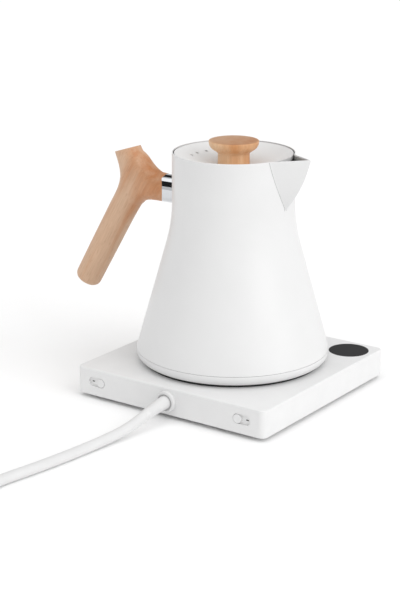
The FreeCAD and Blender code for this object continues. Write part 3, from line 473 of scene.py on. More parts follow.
FINISHES = {
    Slot.BODY_PAINT: WHITE_COAT,
    Slot.BASE_PLASTIC: WHITE_ABS,
    Slot.HANDLE_WOOD: GRIP_BEECH,
    Slot.FERRULE_CHROME: CHROME,
    Slot.BARE_STEEL: BRUSHED_STEEL,
    Slot.DARK_PLASTIC: BLACK_PLASTIC,
    Slot.DISPLAY_GLASS: TINTED_ACRYLIC,
    Slot.FOOT_RUBBER: GREY_RUBBER,
    Slot.SEAL_RUBBER: BLACK_SILICONE,
    Slot.SCREW_STEEL: ZINC_STEEL,
    Slot.CONTACT_BRASS: DRAWN_BRASS,
    Slot.SPREADER_ALUMINIUM: ROLLED_ALUMINIUM,
    Slot.BOARD: GREEN_BOARD,
    Slot.CORD_VINYL: WHITE_VINYL,
    Slot.TIE_FABRIC: WHITE_STRAP,
}


# ---------------------------------------------------------------- mesh tools
def arc(centre: Point, radius: float, start: float, end: float,
        steps: int = 8) -> list[Point]:
    """Give points along an arc of an outline.

    Args:
        centre: The arc's centre, as distance from the axis and height.
        radius: The arc's radius.
        start: Angle of the first point in degrees, from straight out, upwards positive.
        end: Angle of the last point in degrees.
        steps: How many parts the arc has.

    Returns:
        The points, one more than the parts.
    """
    angles = [math.radians(start + (end - start) * step / steps) for step in range(steps + 1)]
    return [(centre[0] + radius * math.cos(angle), centre[1] + radius * math.sin(angle))
            for angle in angles]


def straight(start: Point, end: Point, steps: int) -> list[Point]:
    """Give points evenly along a straight stretch of an outline.

    Args:
        start: The first point.
        end: The last point.
        steps: How many parts the stretch has.

    Returns:
        The points, one more than the parts.
    """
    return [(start[0] + (end[0] - start[0]) * step / steps,
             start[1] + (end[1] - start[1]) * step / steps) for step in range(steps + 1)]


def lathe(outline: Sequence[Point], turns: int = 96, ring: bool = False) -> bmesh.types.BMesh:
    """Turn an outline about the upright axis.

    Args:
        outline: Points as distance from the axis and height.
        turns: How many parts the full turn has.
        ring: Whether the last point joins the first, as on a tube or a shell.

    Returns:
        The turned shape.
    """
    shape = bmesh.new()
    points = [shape.verts.new((radius, 0.0, height)) for radius, height in outline]
    pairs = list(zip(points, points[1:])) + ([(points[-1], points[0])] if ring else [])
    edges = [shape.edges.new(pair) for pair in pairs]
    bmesh.ops.spin(shape, geom=points + edges, cent=(0, 0, 0), axis=(0, 0, 1),
                   angle=2 * math.pi, steps=turns, use_merge=True)
    bmesh.ops.remove_doubles(shape, verts=shape.verts[:], dist=MERGE_GAP)
    bmesh.ops.recalc_face_normals(shape, faces=shape.faces[:])
    return shape


def ring_edges(shape: bmesh.types.BMesh, place: Matrix,
               segments: int) -> list[bmesh.types.BMEdge]:
    """Add one open ring to a shape.

    Args:
        shape: The shape.
        place: Turns, stretches and moves a circle of radius 1 into the ring.
        segments: How many edges the ring has.

    Returns:
        The ring's edges.
    """
    made = bmesh.ops.create_circle(shape, cap_ends=False, segments=segments, radius=1.0,
                                   matrix=place)
    return list({edge for vert in made["verts"] for edge in vert.link_edges})


def loft(shape: bmesh.types.BMesh, rings: Sequence[list[bmesh.types.BMEdge]],
         capped: bool = True) -> None:
    """Skin a row of rings.

    Args:
        shape: The shape that the rings are in.
        rings: Each ring's edges, in order.
        capped: Whether the first and last rings are filled.
    """
    for first, second in zip(rings, rings[1:]):
        bmesh.ops.bridge_loops(shape, edges=first + second)
    if capped:
        for ring in (rings[0], rings[-1]):
            bmesh.ops.edgeloop_fill(shape, edges=ring)
    bmesh.ops.recalc_face_normals(shape, faces=shape.faces[:])


def turned_to(shape: bmesh.types.BMesh, axis: str, place: Vector) -> bmesh.types.BMesh:
    """Turn an upright shape to lie along another axis, and place it.

    Args:
        shape: The shape, about the Z axis.
        axis: "X", "Y" or "Z", the way that its upper end points.
        place: Where its origin goes.

    Returns:
        The same shape.
    """
    turns = {"X": Matrix.Rotation(math.pi / 2, 4, "Y"),
             "Y": Matrix.Rotation(-math.pi / 2, 4, "X"), "Z": Matrix.Identity(4)}
    bmesh.ops.transform(shape, verts=shape.verts[:],
                        matrix=Matrix.Translation(place) @ turns[axis])
    return shape


def scene_object(shape: bmesh.types.BMesh, name: str,
                 finishes: Sequence[Finish] = ()) -> bpy.types.Object:
    """Put a shape in the scene as an object at the origin.

    Args:
        shape: The shape, in its place; it is used up.
        name: The object's name.
        finishes: Its finishes, one for each material slot.

    Returns:
        The object.
    """
    mesh = bpy.data.meshes.new(name)
    shape.to_mesh(mesh)
    shape.free()
    for finish in finishes:
        mesh.materials.append(finish.material())
    made = bpy.data.objects.new(name, mesh)
    bpy.context.scene.collection.objects.link(made)
    return made


def set_piece(shape: bmesh.types.BMesh, name: str, body: Body, slot: Slot,
              finishes: Sequence[Finish] = (), stands_for: Sequence[str] = (),
              sharp: float = 34.0) -> bpy.types.Object:
    """Make a shape a piece of the object.

    Args:
        shape: The shape, in its place; it is used up.
        name: The piece's name.
        body: The body that it rides on.
        slot: The record's slot that it takes its finish from.
        finishes: Its finishes, if they aren't the slot's own.
        stands_for: The parts that it is shown instead of.
        sharp: Edges that turn by more than this many degrees stay crisp.

    Returns:
        The piece.
    """
    piece = scene_object(shape, name, finishes or (FINISHES[slot],))
    piece.data.shade_smooth()
    piece.data.set_sharp_from_angle(angle=math.radians(sharp))
    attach(piece, body.value)
    if stands_for:
        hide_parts(*stands_for)
    LOG.info("%s: %d faces on %s", name, len(piece.data.polygons), body.value)
    return piece


def dress_parts(packed: dict[str, Any]) -> None:
    """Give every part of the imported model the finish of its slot.
    """
    for subpart in packed["record"]["subparts"]:
        node = packed["nodes"][subpart["node"]]
        finish = FINISHES[Slot(subpart["material_slot"])]
        for holder in node.material_slots:
            holder.material = finish.material()
        LOG.info("%s: %s", node.name, finish.name)


# ---------------------------------------------------------------- studio
@dataclass
class Studio:
    """A white sweep, soft daylight from one side and a long lens."""

    aim: tuple[float, float, float] = (0.01305, 0.02513, 0.06882)
    distance: float = 1.20038
    azimuth: float = 215.43
    elevation: float = 17.41
    lens: float = 92.73
    sensor: float = 36.0
    near_clip: float = 0.05
    floor_side: float = 16.0
    flag_distance: float = 3.0
    flag_shift: float = 0.66
    flag_half_width: float = 1.6
    air_strength: float = 0.66

    def camera(self) -> None:
        """Set the camera."""
        turn = math.radians(self.azimuth)
        rise = math.radians(self.elevation)
        back = Vector((math.sin(turn) * math.cos(rise), -math.cos(turn) * math.cos(rise),
                       math.sin(rise)))
        camera = bpy.data.objects.new("camera", bpy.data.cameras.new("camera"))
        camera.data.lens = self.lens
        camera.data.sensor_width = self.sensor
        camera.data.clip_start = self.near_clip
        camera.location = Vector(self.aim) + back * self.distance
        camera.rotation_euler = (-back).to_track_quat("-Z", "Y").to_euler()
        bpy.context.scene.collection.objects.link(camera)
        bpy.context.scene.camera = camera

    def floor(self) -> None:
        """Lay the pale floor."""
        shape = bmesh.new()
        bmesh.ops.create_grid(shape, x_segments=8, y_segments=8, size=self.floor_side / 2)
        floor = scene_object(shape, "floor", (WHITE_PAPER,))

    def flag(self, name: str, rise: float, height: float) -> None:
        """Stand a black card out of view, for the chrome to mirror.

        Args:
            name: The card's name.
            rise: Angle of its middle above the rear, in degrees, about the X axis.
            height: The angle that it fills, in degrees.
        """
        shape = bmesh.new()
        bmesh.ops.create_grid(shape, x_segments=1, y_segments=1, size=1.0)
        half = self.flag_distance * math.tan(math.radians(height / 2))
        turn = Matrix.Rotation(math.radians(rise), 4, "X")
        place = Matrix.Translation((self.flag_distance * self.flag_shift, 0, 0)) @ turn
        place = place @ Matrix.Translation((0, self.flag_distance, 0))
        place = place @ Matrix.Rotation(math.pi / 2, 4, "X")
        place = place @ Matrix.Diagonal(
            (self.flag_half_width * self.flag_distance, half, 1.0, 1.0))
        bmesh.ops.transform(shape, verts=shape.verts[:], matrix=place)
        card = scene_object(shape, name, (BLACK_CARD,))
        for kind in ("camera", "diffuse", "shadow", "transmission"):
            setattr(card, "visible_" + kind, False)

    def light(self, name: str, toward: Vector, strength: float, softness: float) -> None:
        """Hang one distant soft light.

        Args:
            name: The light's name.
            toward: Direction from the object to the light.
            strength: Its strength in watts a square metre.
            softness: The angle that it fills, in degrees.
        """
        sun = bpy.data.lights.new(name, "SUN")
        sun.energy = strength
        sun.angle = math.radians(softness)
        lamp = bpy.data.objects.new(name, sun)
        lamp.rotation_euler = toward.to_track_quat("Z", "Y").to_euler()
        bpy.context.scene.collection.objects.link(lamp)

    def build(self) -> None:
        """Set the camera, the floor and the lights."""
        self.camera()
        self.floor()
        self.light("key_light", Vector((-0.9, 0.04, 0.52)), strength=1.08, softness=50.0)
        self.light("top_light", Vector((0.0, 0.2, 1.0)), strength=0.86, softness=80.0)
        self.flag("low_flag", rise=47.0, height=42.0)
        self.flag("high_flag", rise=126.0, height=34.0)
        world = bpy.data.worlds.new("studio_air")
        world.use_nodes = True
        air = world.node_tree.nodes["Background"]
        air.inputs["Color"].default_value = linear("#FFFFFF")
        air.inputs["Strength"].default_value = self.air_strength
        bpy.context.scene.world = world
        bpy.context.scene.view_settings.view_transform = "Standard"
        LOG.info("studio is set")


# ---------------------------------------------------------------- mains cord
@dataclass
class MainsCord:
    """Vinyl mains lead from the rear wall to a coil and a moulded plug."""

    diameter: float = 0.0078
    length: float = 0.76
    exit: tuple[float, float, float] = (0.0, 0.0855, 0.0135)
    coil_turns: int = 2
    coil_pitch: float = 0.008
    coil_entry_radius: float = 0.048
    points_a_turn: int = 16
    rise_steps: int = 3
    facets: int = 7
    steps_a_span: int = 10
    route: Route = (
        (0.0, 0.075, 0.0135),
        (0.0, 0.103, 0.013),
        (0.0012, 0.131, 0.006),
        (0.0052, 0.160, 0.0039),
        (0.008, 0.189, 0.0039),
        (0.012, 0.218, 0.0039),
        (0.0183, 0.251, 0.0039),
        (0.0185, 0.284, 0.0039),
    )
    tail: Route = (
        (0.0345, 0.284, 0.0117),
        (0.0349, 0.309, 0.0121),
        (0.0364, 0.334, 0.0117),
    )

    def coil(self) -> list[Vector]:
        """Work out the coil's points, winding in from the route's last point.

        Returns:
            The points between the route and the tail.
        """
        low = self.diameter / 2
        high = self.tail[0][2]
        start = Vector(self.route[-1])
        centre = start + Vector((self.coil_entry_radius, 0, 0))
        step = 2 * math.pi / self.points_a_turn
        # The smooth curve runs inside its points by this share, so they are set further out.
        spread = 0.75 + 0.25 * math.cos(step)
        count = self.coil_turns * self.points_a_turn
        points = []
        for index in range(1, count):
            radius = self.coil_entry_radius - self.coil_pitch * index / self.points_a_turn
            angle = math.pi - step * index
            lift = max(0.0, (index - count + self.rise_steps) / self.rise_steps)
            lift = lift * lift * (3 - 2 * lift)
            points.append(Vector((centre.x + radius / spread * math.cos(angle),
                                  centre.y + radius / spread * math.sin(angle),
                                  low + (high - low) * lift)))
        return points

    def lead(self) -> bpy.types.Object:
        """Lay the lead as one smooth curve.

        Returns:
            The lead.
        """
        points = [Vector(p) for p in self.route] + self.coil() + [Vector(p) for p in self.tail]
        curve = bpy.data.curves.new("mains_lead", "CURVE")
        curve.dimensions = "3D"
        curve.bevel_depth = self.diameter / 2
        curve.bevel_resolution = self.facets
        curve.resolution_u = self.steps_a_span
        curve.use_fill_caps = True
        spline = curve.splines.new("NURBS")
        spline.points.add(len(points) - 1)
        for place, point in zip(spline.points, points):
            place.co = (point.x, point.y, point.z, 1.0)
        spline.order_u = 3
        spline.use_endpoint_u = True
        curve.materials.append(WHITE_VINYL.material())
        lead = bpy.data.objects.new("mains_lead", curve)
        bpy.context.scene.collection.objects.link(lead)
        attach(lead, Body.BASE.value)
        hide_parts("power_cord", "cord_coil", "cord_tail")
        return lead

    def build(self) -> None:
        lead = self.lead()
        LOG.info("mains lead: %.2f m", self.length)


# ---------------------------------------------------------------- kettle body
@dataclass
class KettleBody:
    """Spun steel body whose neck is drawn out into a folded V-shaped spout."""

    neck_radius: float = 0.0463
    cone_base_radius: float = 0.0763
    half_angle: float = 15.7
    flare_radius: float = 0.1215
    wall: float = 0.0008
    rim_round: float = 0.0007
    coat_wrap: float = 0.0008
    edge_radius: float = 0.0065
    seam_groove: float = 0.0002
    flange_width: float = 0.0037
    spout_reach: float = 0.0681
    spout_rise: float = 0.0017
    spout_depth: float = 0.039
    spout_bulge: float = 0.003
    spout_half_angle: float = 35.3
    slant_start: float = 0.0417
    fold: float = 0.0006
    keel_round: float = 0.004
    columns: int = 256
    spout_columns: int = 16
    # The thin grey tubes of painted shade that run along the spout's folds.
    fold_steps: int = 40
    fold_line_radius: float = 0.00013
    fold_line_gap: float = 0.4 * MM
    least_crease: float = 1.5
    plates_within: float = math.pi / 3
    bare_share: float = 0.95
    cone_rows: int = 26
    spout_rows: int = 40

    def __post_init__(self) -> None:
        """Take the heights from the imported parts."""
        self.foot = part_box("bottom_band")[0].z
        self.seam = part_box("body_shell")[0].z
        self.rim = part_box("body_shell")[1].z
        self.spout_foot = self.rim - self.spout_depth

    def wall_radius(self, height: float) -> float:
        """Give the body's outer radius, without the spout.

        Args:
            height: Height of the point.

        Returns:
            The radius.
        """
        angle = math.radians(self.half_angle)
        corner = self.foot + (self.cone_base_radius - self.neck_radius) / math.tan(angle)
        reach = self.flare_radius * math.tan(angle / 2)
        if height >= corner + reach:
            return self.neck_radius
        if height <= corner - reach * math.cos(angle):
            return self.cone_base_radius - (height - self.foot) * math.tan(angle)
        drop = corner + reach - height
        return self.neck_radius + self.flare_radius - math.sqrt(
            self.flare_radius ** 2 - drop ** 2)

    def keel(self, height: float) -> float:
        """Give the distance of the spout's keel from the kettle's axis.

        Args:
            height: Height of the point.

        Returns:
            The distance, along an arc from the spout's foot to its tip.
        """
        start = Vector((self.spout_reach, self.rim + self.spout_rise))
        end = Vector((self.neck_radius, self.spout_foot))
        chord = end - start
        half = chord.length / 2
        radius = (half ** 2 + self.spout_bulge ** 2) / (2 * self.spout_bulge)
        outward = Vector((-chord.y, chord.x)).normalized()
        centre = (start + end) / 2 - outward * (radius - self.spout_bulge)
        return centre.x + math.sqrt(radius ** 2 - (height - centre.y) ** 2)

    def crease(self, height: float) -> float:
        """Give half the angle that the spout takes up.

        Args:
            height: Height of the point.

        Returns:
            The angle, in radians.
        """
        lean = math.radians(self.spout_half_angle)
        natural = 2 * math.pi * self.spout_columns / self.columns
        least = math.radians(self.least_crease)
        if height <= self.spout_foot:
            ease = min(1.0, (self.spout_foot - height) / self.spout_depth)
            return least + (natural - least) * ease
        share = self.keel(height) * math.sin(lean) / self.wall_radius(height)
        return max(least, math.asin(min(1.0, share)) - lean)

    def sheet_radius(self, angle: float, height: float, inset: float) -> float:
        """Give the sheet's distance from the axis.

        Args:
            angle: Angle from the spout's middle plane, in radians.
            height: Height of the point.
            inset: How far inside the outer face the point is.

        Returns:
            The distance, on the round wall or on the spout's plates.
        """
        wall = self.wall_radius(height) - inset
        if height <= self.spout_foot or abs(angle) > self.plates_within:
            return wall
        lean = math.radians(self.spout_half_angle)
        back = self.keel(height) - inset / math.sin(lean)
        side = math.sqrt(math.sin(angle) ** 2 + self.keel_round ** 2)
        plate = back * math.tan(lean) / (side + math.cos(angle) * math.tan(lean))
        gap = abs(plate - wall)
        return max(plate, wall) + max(0.0, self.fold - gap) ** 2 / (4 * self.fold)

    def bend(self, shape: bmesh.types.BMesh) -> None:
        """Draw the turned neck out into the spout.

        Args:
            shape: The turned shell.
        """
        natural = 2 * math.pi * self.spout_columns / self.columns
        for vert in shape.verts:
            height = vert.co.z
            inset = self.wall_radius(height) - math.hypot(vert.co.x, vert.co.y)
            angle = math.atan2(vert.co.y, -vert.co.x)
            half = self.crease(height)
            if abs(angle) <= natural:
                angle *= half / natural
            else:
                share = (abs(angle) - natural) / (math.pi - natural)
                angle = math.copysign(half + share * (math.pi - half), angle)
            radius = self.sheet_radius(angle, height, max(0.0, inset))
            x = -radius * math.cos(angle)
            slant = max(0.0, -x - self.slant_start) / (self.spout_reach - self.slant_start)
            share = max(0.0, height - self.spout_foot) / self.spout_depth
            vert.co = Vector((x, radius * math.sin(angle),
                              height + self.spout_rise * slant * share))

    def shell(self) -> bpy.types.Object:
        """Make the body with its spout, coated outside and brushed inside.

        Returns:
            The body.
        """
        low = straight((0, self.seam), (0, self.spout_foot), self.cone_rows)
        high = straight((0, self.spout_foot), (0, self.rim), self.spout_rows)
        heights = [point[1] for point in low + high[1:-1]]
        inner = [(self.wall_radius(height) - self.wall, height)
                 for height in reversed(heights + [self.rim])]
        outer = [(self.wall_radius(height), height) for height in heights]
        outer += arc((self.neck_radius - self.rim_round, self.rim - self.rim_round),
                     self.rim_round, 0.0, 90.0, steps=5)
        shape = lathe(outer + inner, self.columns, ring=True)
        for face in shape.faces:
            centre = face.calc_center_median()
            wall = self.wall_radius(centre.z)
            bare = centre.z < self.rim - self.coat_wrap
            if bare and math.hypot(centre.x, centre.y) < wall - self.bare_share * self.wall:
                face.material_index = 1
        self.bend(shape)
        return set_piece(shape, "kettle_body", Body.KETTLE, Slot.BODY_PAINT,
                         (WHITE_COAT, BRUSHED_STEEL), ("body_shell", "spout"), sharp=30.0)

    def fold_line(self, name: str, side: int) -> bpy.types.Object:
        """Make a thin grey tube of painted shade along the fold where the spout leaves the round
        neck.

        Args:
            name: The line's name.
            side: 1 for the rear side, -1 for the front.

        Returns:
            The line.
        """
        shape = bmesh.new()
        rings = []
        span = self.rim - self.fold_line_gap - self.spout_foot
        for step in range(self.fold_steps + 1):
            height = self.spout_foot + span * step / self.fold_steps
            angle = side * self.crease(height)
            radius = self.sheet_radius(angle, height, 0.0)
            spot = Vector((-radius * math.cos(angle), radius * math.sin(angle), height))
            rings.append(ring_edges(shape, Matrix.Translation(spot)
                                    @ Matrix.Scale(self.fold_line_radius, 4),
                                    segments=8))
        loft(shape, rings)
        return set_piece(shape, name, Body.KETTLE, Slot.BODY_PAINT, (PAINTED_FOLD_SHADE,))

    def band(self) -> bpy.types.Object:
        """Make the rounded band under the seam.

        Returns:
            The band.
        """
        lean = math.radians(self.half_angle)
        centre = (self.wall_radius(self.seam) - self.edge_radius * math.cos(lean),
                  self.seam - self.edge_radius * math.sin(lean))
        start = self.half_angle - math.degrees(self.seam_groove / self.edge_radius)
        inner = self.edge_radius - self.wall
        end = centre[0] - self.flange_width
        outline = arc(centre, self.edge_radius, start, -90.0, steps=16)
        outline += [(end, centre[1] - self.edge_radius), (end, centre[1] - inner)]
        outline += arc(centre, inner, -90.0, start, steps=16)
        return set_piece(lathe(outline, turns=192, ring=True), "kettle_foot_band",
                         Body.KETTLE, Slot.BODY_PAINT, stands_for=("bottom_band",))

    def build(self) -> None:
        """Make the body, the painted shade lines in its folds and its foot band."""
        self.shell()
        self.fold_line("spout_fold_shade_rear", 1)
        self.fold_line("spout_fold_shade_front", -1)
        self.band()


# ---------------------------------------------------------------- handle
@dataclass
class Handle:
    """Forked beech handle on a chromed ferrule."""

    axis_height: float = 0.1498
    ferrule_radius: float = 0.011
    ferrule_end: float = 0.059
    mouth_radius: float = 0.013
    ferrule_wall: float = 0.0003
    neck_radius: float = 0.01085
    neck_start: float = 0.054
    voxel: float = 0.0009
    smoothing: int = 6
    horn_overrun: float = 0.006
    end_dome: float = 0.0035
    end_flat: float = 0.55
    end_curve: float = 0.45
    end_turns: tuple[float, ...] = (30, 55, 75, 88)
    sides: int = 48
    steps_a_section: int = 6
    cut_gap: float = 1e-7
    ferrule_sides: int = 128
    ferrule_start_gap: float = 0.0013
    # Down the back of the grip: x, height over the ferrule's axis, lean in degrees,
    # radius in the plane of the handle, radius across it.
    sections: tuple[tuple[float, ...], ...] = (
        (0.1003, 0.0266, -17.5, 0.0107, 0.0102),
        (0.0957, 0.0160, -18.0, 0.0115, 0.0104),
        (0.0934, 0.0045, -4.0, 0.0124, 0.0108),
        (0.0974, -0.0085, 22.0, 0.0118, 0.0109),
        (0.1076, -0.0254, 30.6, 0.0113, 0.0107),
        (0.1250, -0.0548, 30.6, 0.0111, 0.0105),
        (0.1422, -0.0839, 30.6, 0.0108, 0.0102),
    )
    # Along the neck: x, how far it rises over the ferrule's axis, how far it drops.
    neck: tuple[tuple[float, float, float], ...] = (
        (0.0700, 0.0118, 0.0109),
        (0.0740, 0.0139, 0.0110),
        (0.0780, 0.0166, 0.0114),
        (0.0820, 0.0204, 0.0124),
        (0.0850, 0.0238, 0.0140),
        (0.0880, 0.0262, 0.0168),
        (0.0920, 0.0262, 0.0190),
    )

    def section(self, place: float) -> tuple[float, ...]:
        """Give the back's section at a place, counted in sections from the horn.

        Args:
            place: Which section, with a share of the way to the next.

        Returns:
            The five numbers of the section, on a smooth curve through those listed.
        """
        last = len(self.sections) - 1
        index = min(int(place), last - 1)
        share = place - index
        around = [self.sections[min(max(index + step, 0), last)] for step in (-1, 0, 1, 2)]
        # A Catmull-Rom curve: it passes through every section without a kink.
        blended = []
        for before, here, then, after in zip(*around):
            pull = (then - before, after - here)
            blended.append(here + share * (0.5 * pull[0] + share * (
                3 * (then - here) - pull[0] - 0.5 * pull[1] + share * (
                    0.5 * (pull[0] + pull[1]) - 2 * (then - here)))))
        return tuple(blended)

    def section_place(self, numbers: Sequence[float], along: float = 0.0,
                      shrink: float = 1.0) -> Matrix:
        """Give the matrix that puts a circle on a section.

        Args:
            numbers: The section's five numbers.
            along: How far past the section the circle goes, down the grip.
            shrink: How much smaller than the section it is.

        Returns:
            The matrix.
        """
        x, rise, lean, radius_in, radius_across = numbers
        place = Matrix.Translation((x, 0, self.axis_height + rise))
        place = place @ Matrix.Rotation(math.radians(-lean), 4, "Y")
        place = place @ Matrix.Translation((0, 0, -along))
        return place @ Matrix.Diagonal((radius_in * shrink, radius_across * shrink, 1, 1))

    def back(self, shape: bmesh.types.BMesh) -> None:
        """Skin the horn and the grip in one bent tube with a domed lower end.

        Args:
            shape: The shape that the tube joins.
        """
        places = [self.section_place(self.sections[0], -self.horn_overrun)]
        for step in range(self.steps_a_section * (len(self.sections) - 1) + 1):
            places.append(self.section_place(self.section(step / self.steps_a_section)))
        for turn in self.end_turns:
            angle = math.radians(turn)
            shrink = self.end_flat + self.end_curve * math.cos(angle) ** 0.5
            places.append(self.section_place(self.sections[-1],
                                             self.end_dome * math.sin(angle), shrink))
        loft(shape, [ring_edges(shape, place, self.sides) for place in places])

    def branch(self, shape: bmesh.types.BMesh) -> None:
        """Skin the neck, which spreads into the back above and below.

        Args:
            shape: The shape that the neck joins.
        """
        rings = []
        flat = [(self.neck_start, self.neck_radius, self.neck_radius),
                (self.ferrule_end + 2 * self.ferrule_wall, self.neck_radius,
                 self.neck_radius)]
        for x, rise, drop in flat + list(self.neck):
            place = Matrix.Translation((x, 0, self.axis_height))
            place = place @ Matrix.Rotation(math.pi / 2, 4, "Y")
            place = place @ Matrix.Scale(self.neck_radius, 4)
            rings.append(ring_edges(shape, place, self.sides))
            for vert in {vert for edge in rings[-1] for vert in edge.verts}:
                above = vert.co.z > self.axis_height
                shift = rise - self.neck_radius if above else self.neck_radius - drop
                vert.co.z += shift
        loft(shape, rings)

    def wood(self) -> bpy.types.Object:
        """Grow the horn, grip and neck into one piece and cut the horn's flat end.

        Returns:
            The wooden piece.
        """
        shape = bmesh.new()
        self.back(shape)
        self.branch(shape)
        blank = scene_object(shape, "handle_blank")
        remesh = blank.modifiers.new("remesh", "REMESH")
        remesh.mode = "VOXEL"
        remesh.voxel_size = self.voxel
        shape = bmesh.new()
        shape.from_object(blank, bpy.context.evaluated_depsgraph_get())
        bpy.data.objects.remove(blank)
        for _ in range(self.smoothing):
            bmesh.ops.smooth_vert(shape, verts=shape.verts[:], factor=0.5, use_axis_x=True,
                                  use_axis_y=True, use_axis_z=True)
        top = self.section_place(self.sections[0])
        normal = (top.to_3x3() @ Vector((0, 0, 1))).normalized()
        cut = bmesh.ops.bisect_plane(shape, geom=shape.verts[:] + shape.edges[:]
                                     + shape.faces[:], dist=self.cut_gap, plane_co=top.translation,
                                     plane_no=normal, clear_outer=True)
        rim = [item for item in cut["geom_cut"] if isinstance(item, bmesh.types.BMEdge)]
        bmesh.ops.edgeloop_fill(shape, edges=rim)
        bmesh.ops.recalc_face_normals(shape, faces=shape.faces[:])
        return set_piece(shape, "beech_handle", Body.KETTLE, Slot.HANDLE_WOOD,
                         (GRIP_BEECH,), ("handle",), sharp=50.0)

    def ferrule(self) -> bpy.types.Object:
        """Make the chromed tube, scribed to the neck of the body and to the wood.

        Returns:
            The tube.
        """
        shape = bmesh.new()
        rings = []
        body_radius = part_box("lid_top")[1].x + self.ferrule_start_gap
        for at_wood, radius in ((False, self.ferrule_radius), (True, self.ferrule_radius),
                                (True, self.ferrule_radius - self.ferrule_wall),
                                (False, self.ferrule_radius - self.ferrule_wall)):
            place = Matrix.Translation((0, 0, self.axis_height))
            place = place @ Matrix.Rotation(math.pi / 2, 4, "Y") @ Matrix.Scale(radius, 4)
            rings.append(ring_edges(shape, place, self.ferrule_sides))
            for vert in {vert for edge in rings[-1] for vert in edge.verts}:
                rise = vert.co.z - self.axis_height
                if at_wood:
                    sag = math.sqrt(self.mouth_radius ** 2 - rise ** 2)
                    vert.co.x = self.ferrule_end + self.mouth_radius - sag
                else:
                    vert.co.x = math.sqrt(body_radius ** 2 - vert.co.y ** 2)
        loft(shape, rings + rings[:1], capped=False)
        return set_piece(shape, "chrome_ferrule", Body.KETTLE, Slot.FERRULE_CHROME,
                         stands_for=("handle_ferrule",))

    def build(self) -> None:
        """Make the wooden piece and its ferrule."""
        self.wood()
        self.ferrule()


# ---------------------------------------------------------------- lid
@dataclass
class Lid:
    """Turned beech knob of the dished lid."""

    head_radius: float = 0.0188
    neck_radius: float = 0.0119
    foot_radius: float = 0.0121
    foot_round: float = 0.0003
    foot_height: float = 0.003
    bowl_radius: float = 0.0066
    bowl_drop: float = 0.0011
    bowl_turn: float = 62.0
    cove_radius: float = 0.0022
    cove_drop: float = 0.0104
    cove_turn: float = 65.0
    edge_round: float = 0.0006
    crown: float = 0.0006
    crown_places: tuple[float, ...] = (0.9, 0.75, 0.5, 0.25, 0.0)

    def knob(self) -> bpy.types.Object:
        """Turn the mushroom-shaped knob.

        Returns:
            The knob.
        """
        low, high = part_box("lid_knob")
        top = high.z - self.crown
        outline = [(0.0, low.z), (self.foot_radius - self.foot_round, low.z),
                   (self.foot_radius, low.z + self.foot_round),
                   (self.neck_radius, low.z + self.foot_height)]
        outline += arc((self.neck_radius + self.cove_radius, top - self.cove_drop),
                       self.cove_radius, 180.0, 180.0 - self.cove_turn, steps=8)
        outline += arc((self.head_radius - self.bowl_radius, top - self.bowl_drop),
                       self.bowl_radius, -self.bowl_turn, 0.0, steps=14)
        outline += arc((self.head_radius - self.edge_round, top - self.edge_round),
                       self.edge_round, 0.0, 80.0, steps=6)
        outline += [(self.head_radius * share, top + self.crown * (1 - share ** 2))
                    for share in self.crown_places]
        return set_piece(lathe(outline, turns=128), "beech_lid_knob", Body.LID,
                         Slot.HANDLE_WOOD, (KNOB_BEECH,), ("lid_knob",))

    def build(self) -> None:
        """Make the knob."""
        self.knob()


# ---------------------------------------------------------------- base fittings
@dataclass
class StrainRelief:
    """Soft collar with a dished face and a short sleeve that bends with the cord."""

    axis_height: float = 0.0135
    wall_face: float = 0.0855
    bore: float = 0.0036
    collar_radius: float = 0.00825
    collar_length: float = 0.0032
    collar_round: float = 0.0008
    cup_radius: float = 0.0063
    cup_depth: float = 0.0016
    root_radius: float = 0.0052
    tip_radius: float = 0.00402
    sleeve_end: float = 0.0268
    neck_radius: float = 0.0056
    neck_length: float = 0.0025
    flange_radius: float = 0.0076
    flange_length: float = 0.002
    tip_land: float = 0.4 * MM
    tip_round: float = 0.2 * MM
    sag: float = 0.00295
    sag_power: float = 1.5
    lean: float = 0.0004

    def build(self) -> None:
        """Make the collar and sleeve in one piece."""
        face = self.collar_length
        edge = self.collar_radius - self.collar_round
        outline = [(self.bore, -self.neck_length - self.flange_length),
                   (self.flange_radius, -self.neck_length - self.flange_length),
                   (self.flange_radius, -self.neck_length),
                   (self.neck_radius, -self.neck_length), (self.neck_radius, 0.0),
                   (self.collar_radius, 0.0)]
        outline += arc((edge, face - self.collar_round), self.collar_round, 0.0, 90.0,
                       steps=5)
        outline += [(self.cup_radius, face), (self.cup_radius, face - self.cup_depth)]
        outline += straight((self.root_radius, face - self.cup_depth),
                            (self.tip_radius, self.sleeve_end - self.tip_land), 16)
        outline += [(self.tip_radius - self.tip_round, self.sleeve_end),
                    (self.bore, self.sleeve_end)]
        shape = turned_to(lathe(outline, ring=True), "Y",
                          Vector((0.0, self.wall_face, self.axis_height)))
        start = face - self.cup_depth
        for vert in shape.verts:
            beyond = max(0.0, vert.co.y - self.wall_face - start)
            share = beyond / (self.sleeve_end - start)
            vert.co.z -= self.sag * share ** self.sag_power
            vert.co.x += self.lean * share * share
        set_piece(shape, "strain_relief", Body.BASE, Slot.CORD_VINYL,
                  stands_for=("cord_grommet",))


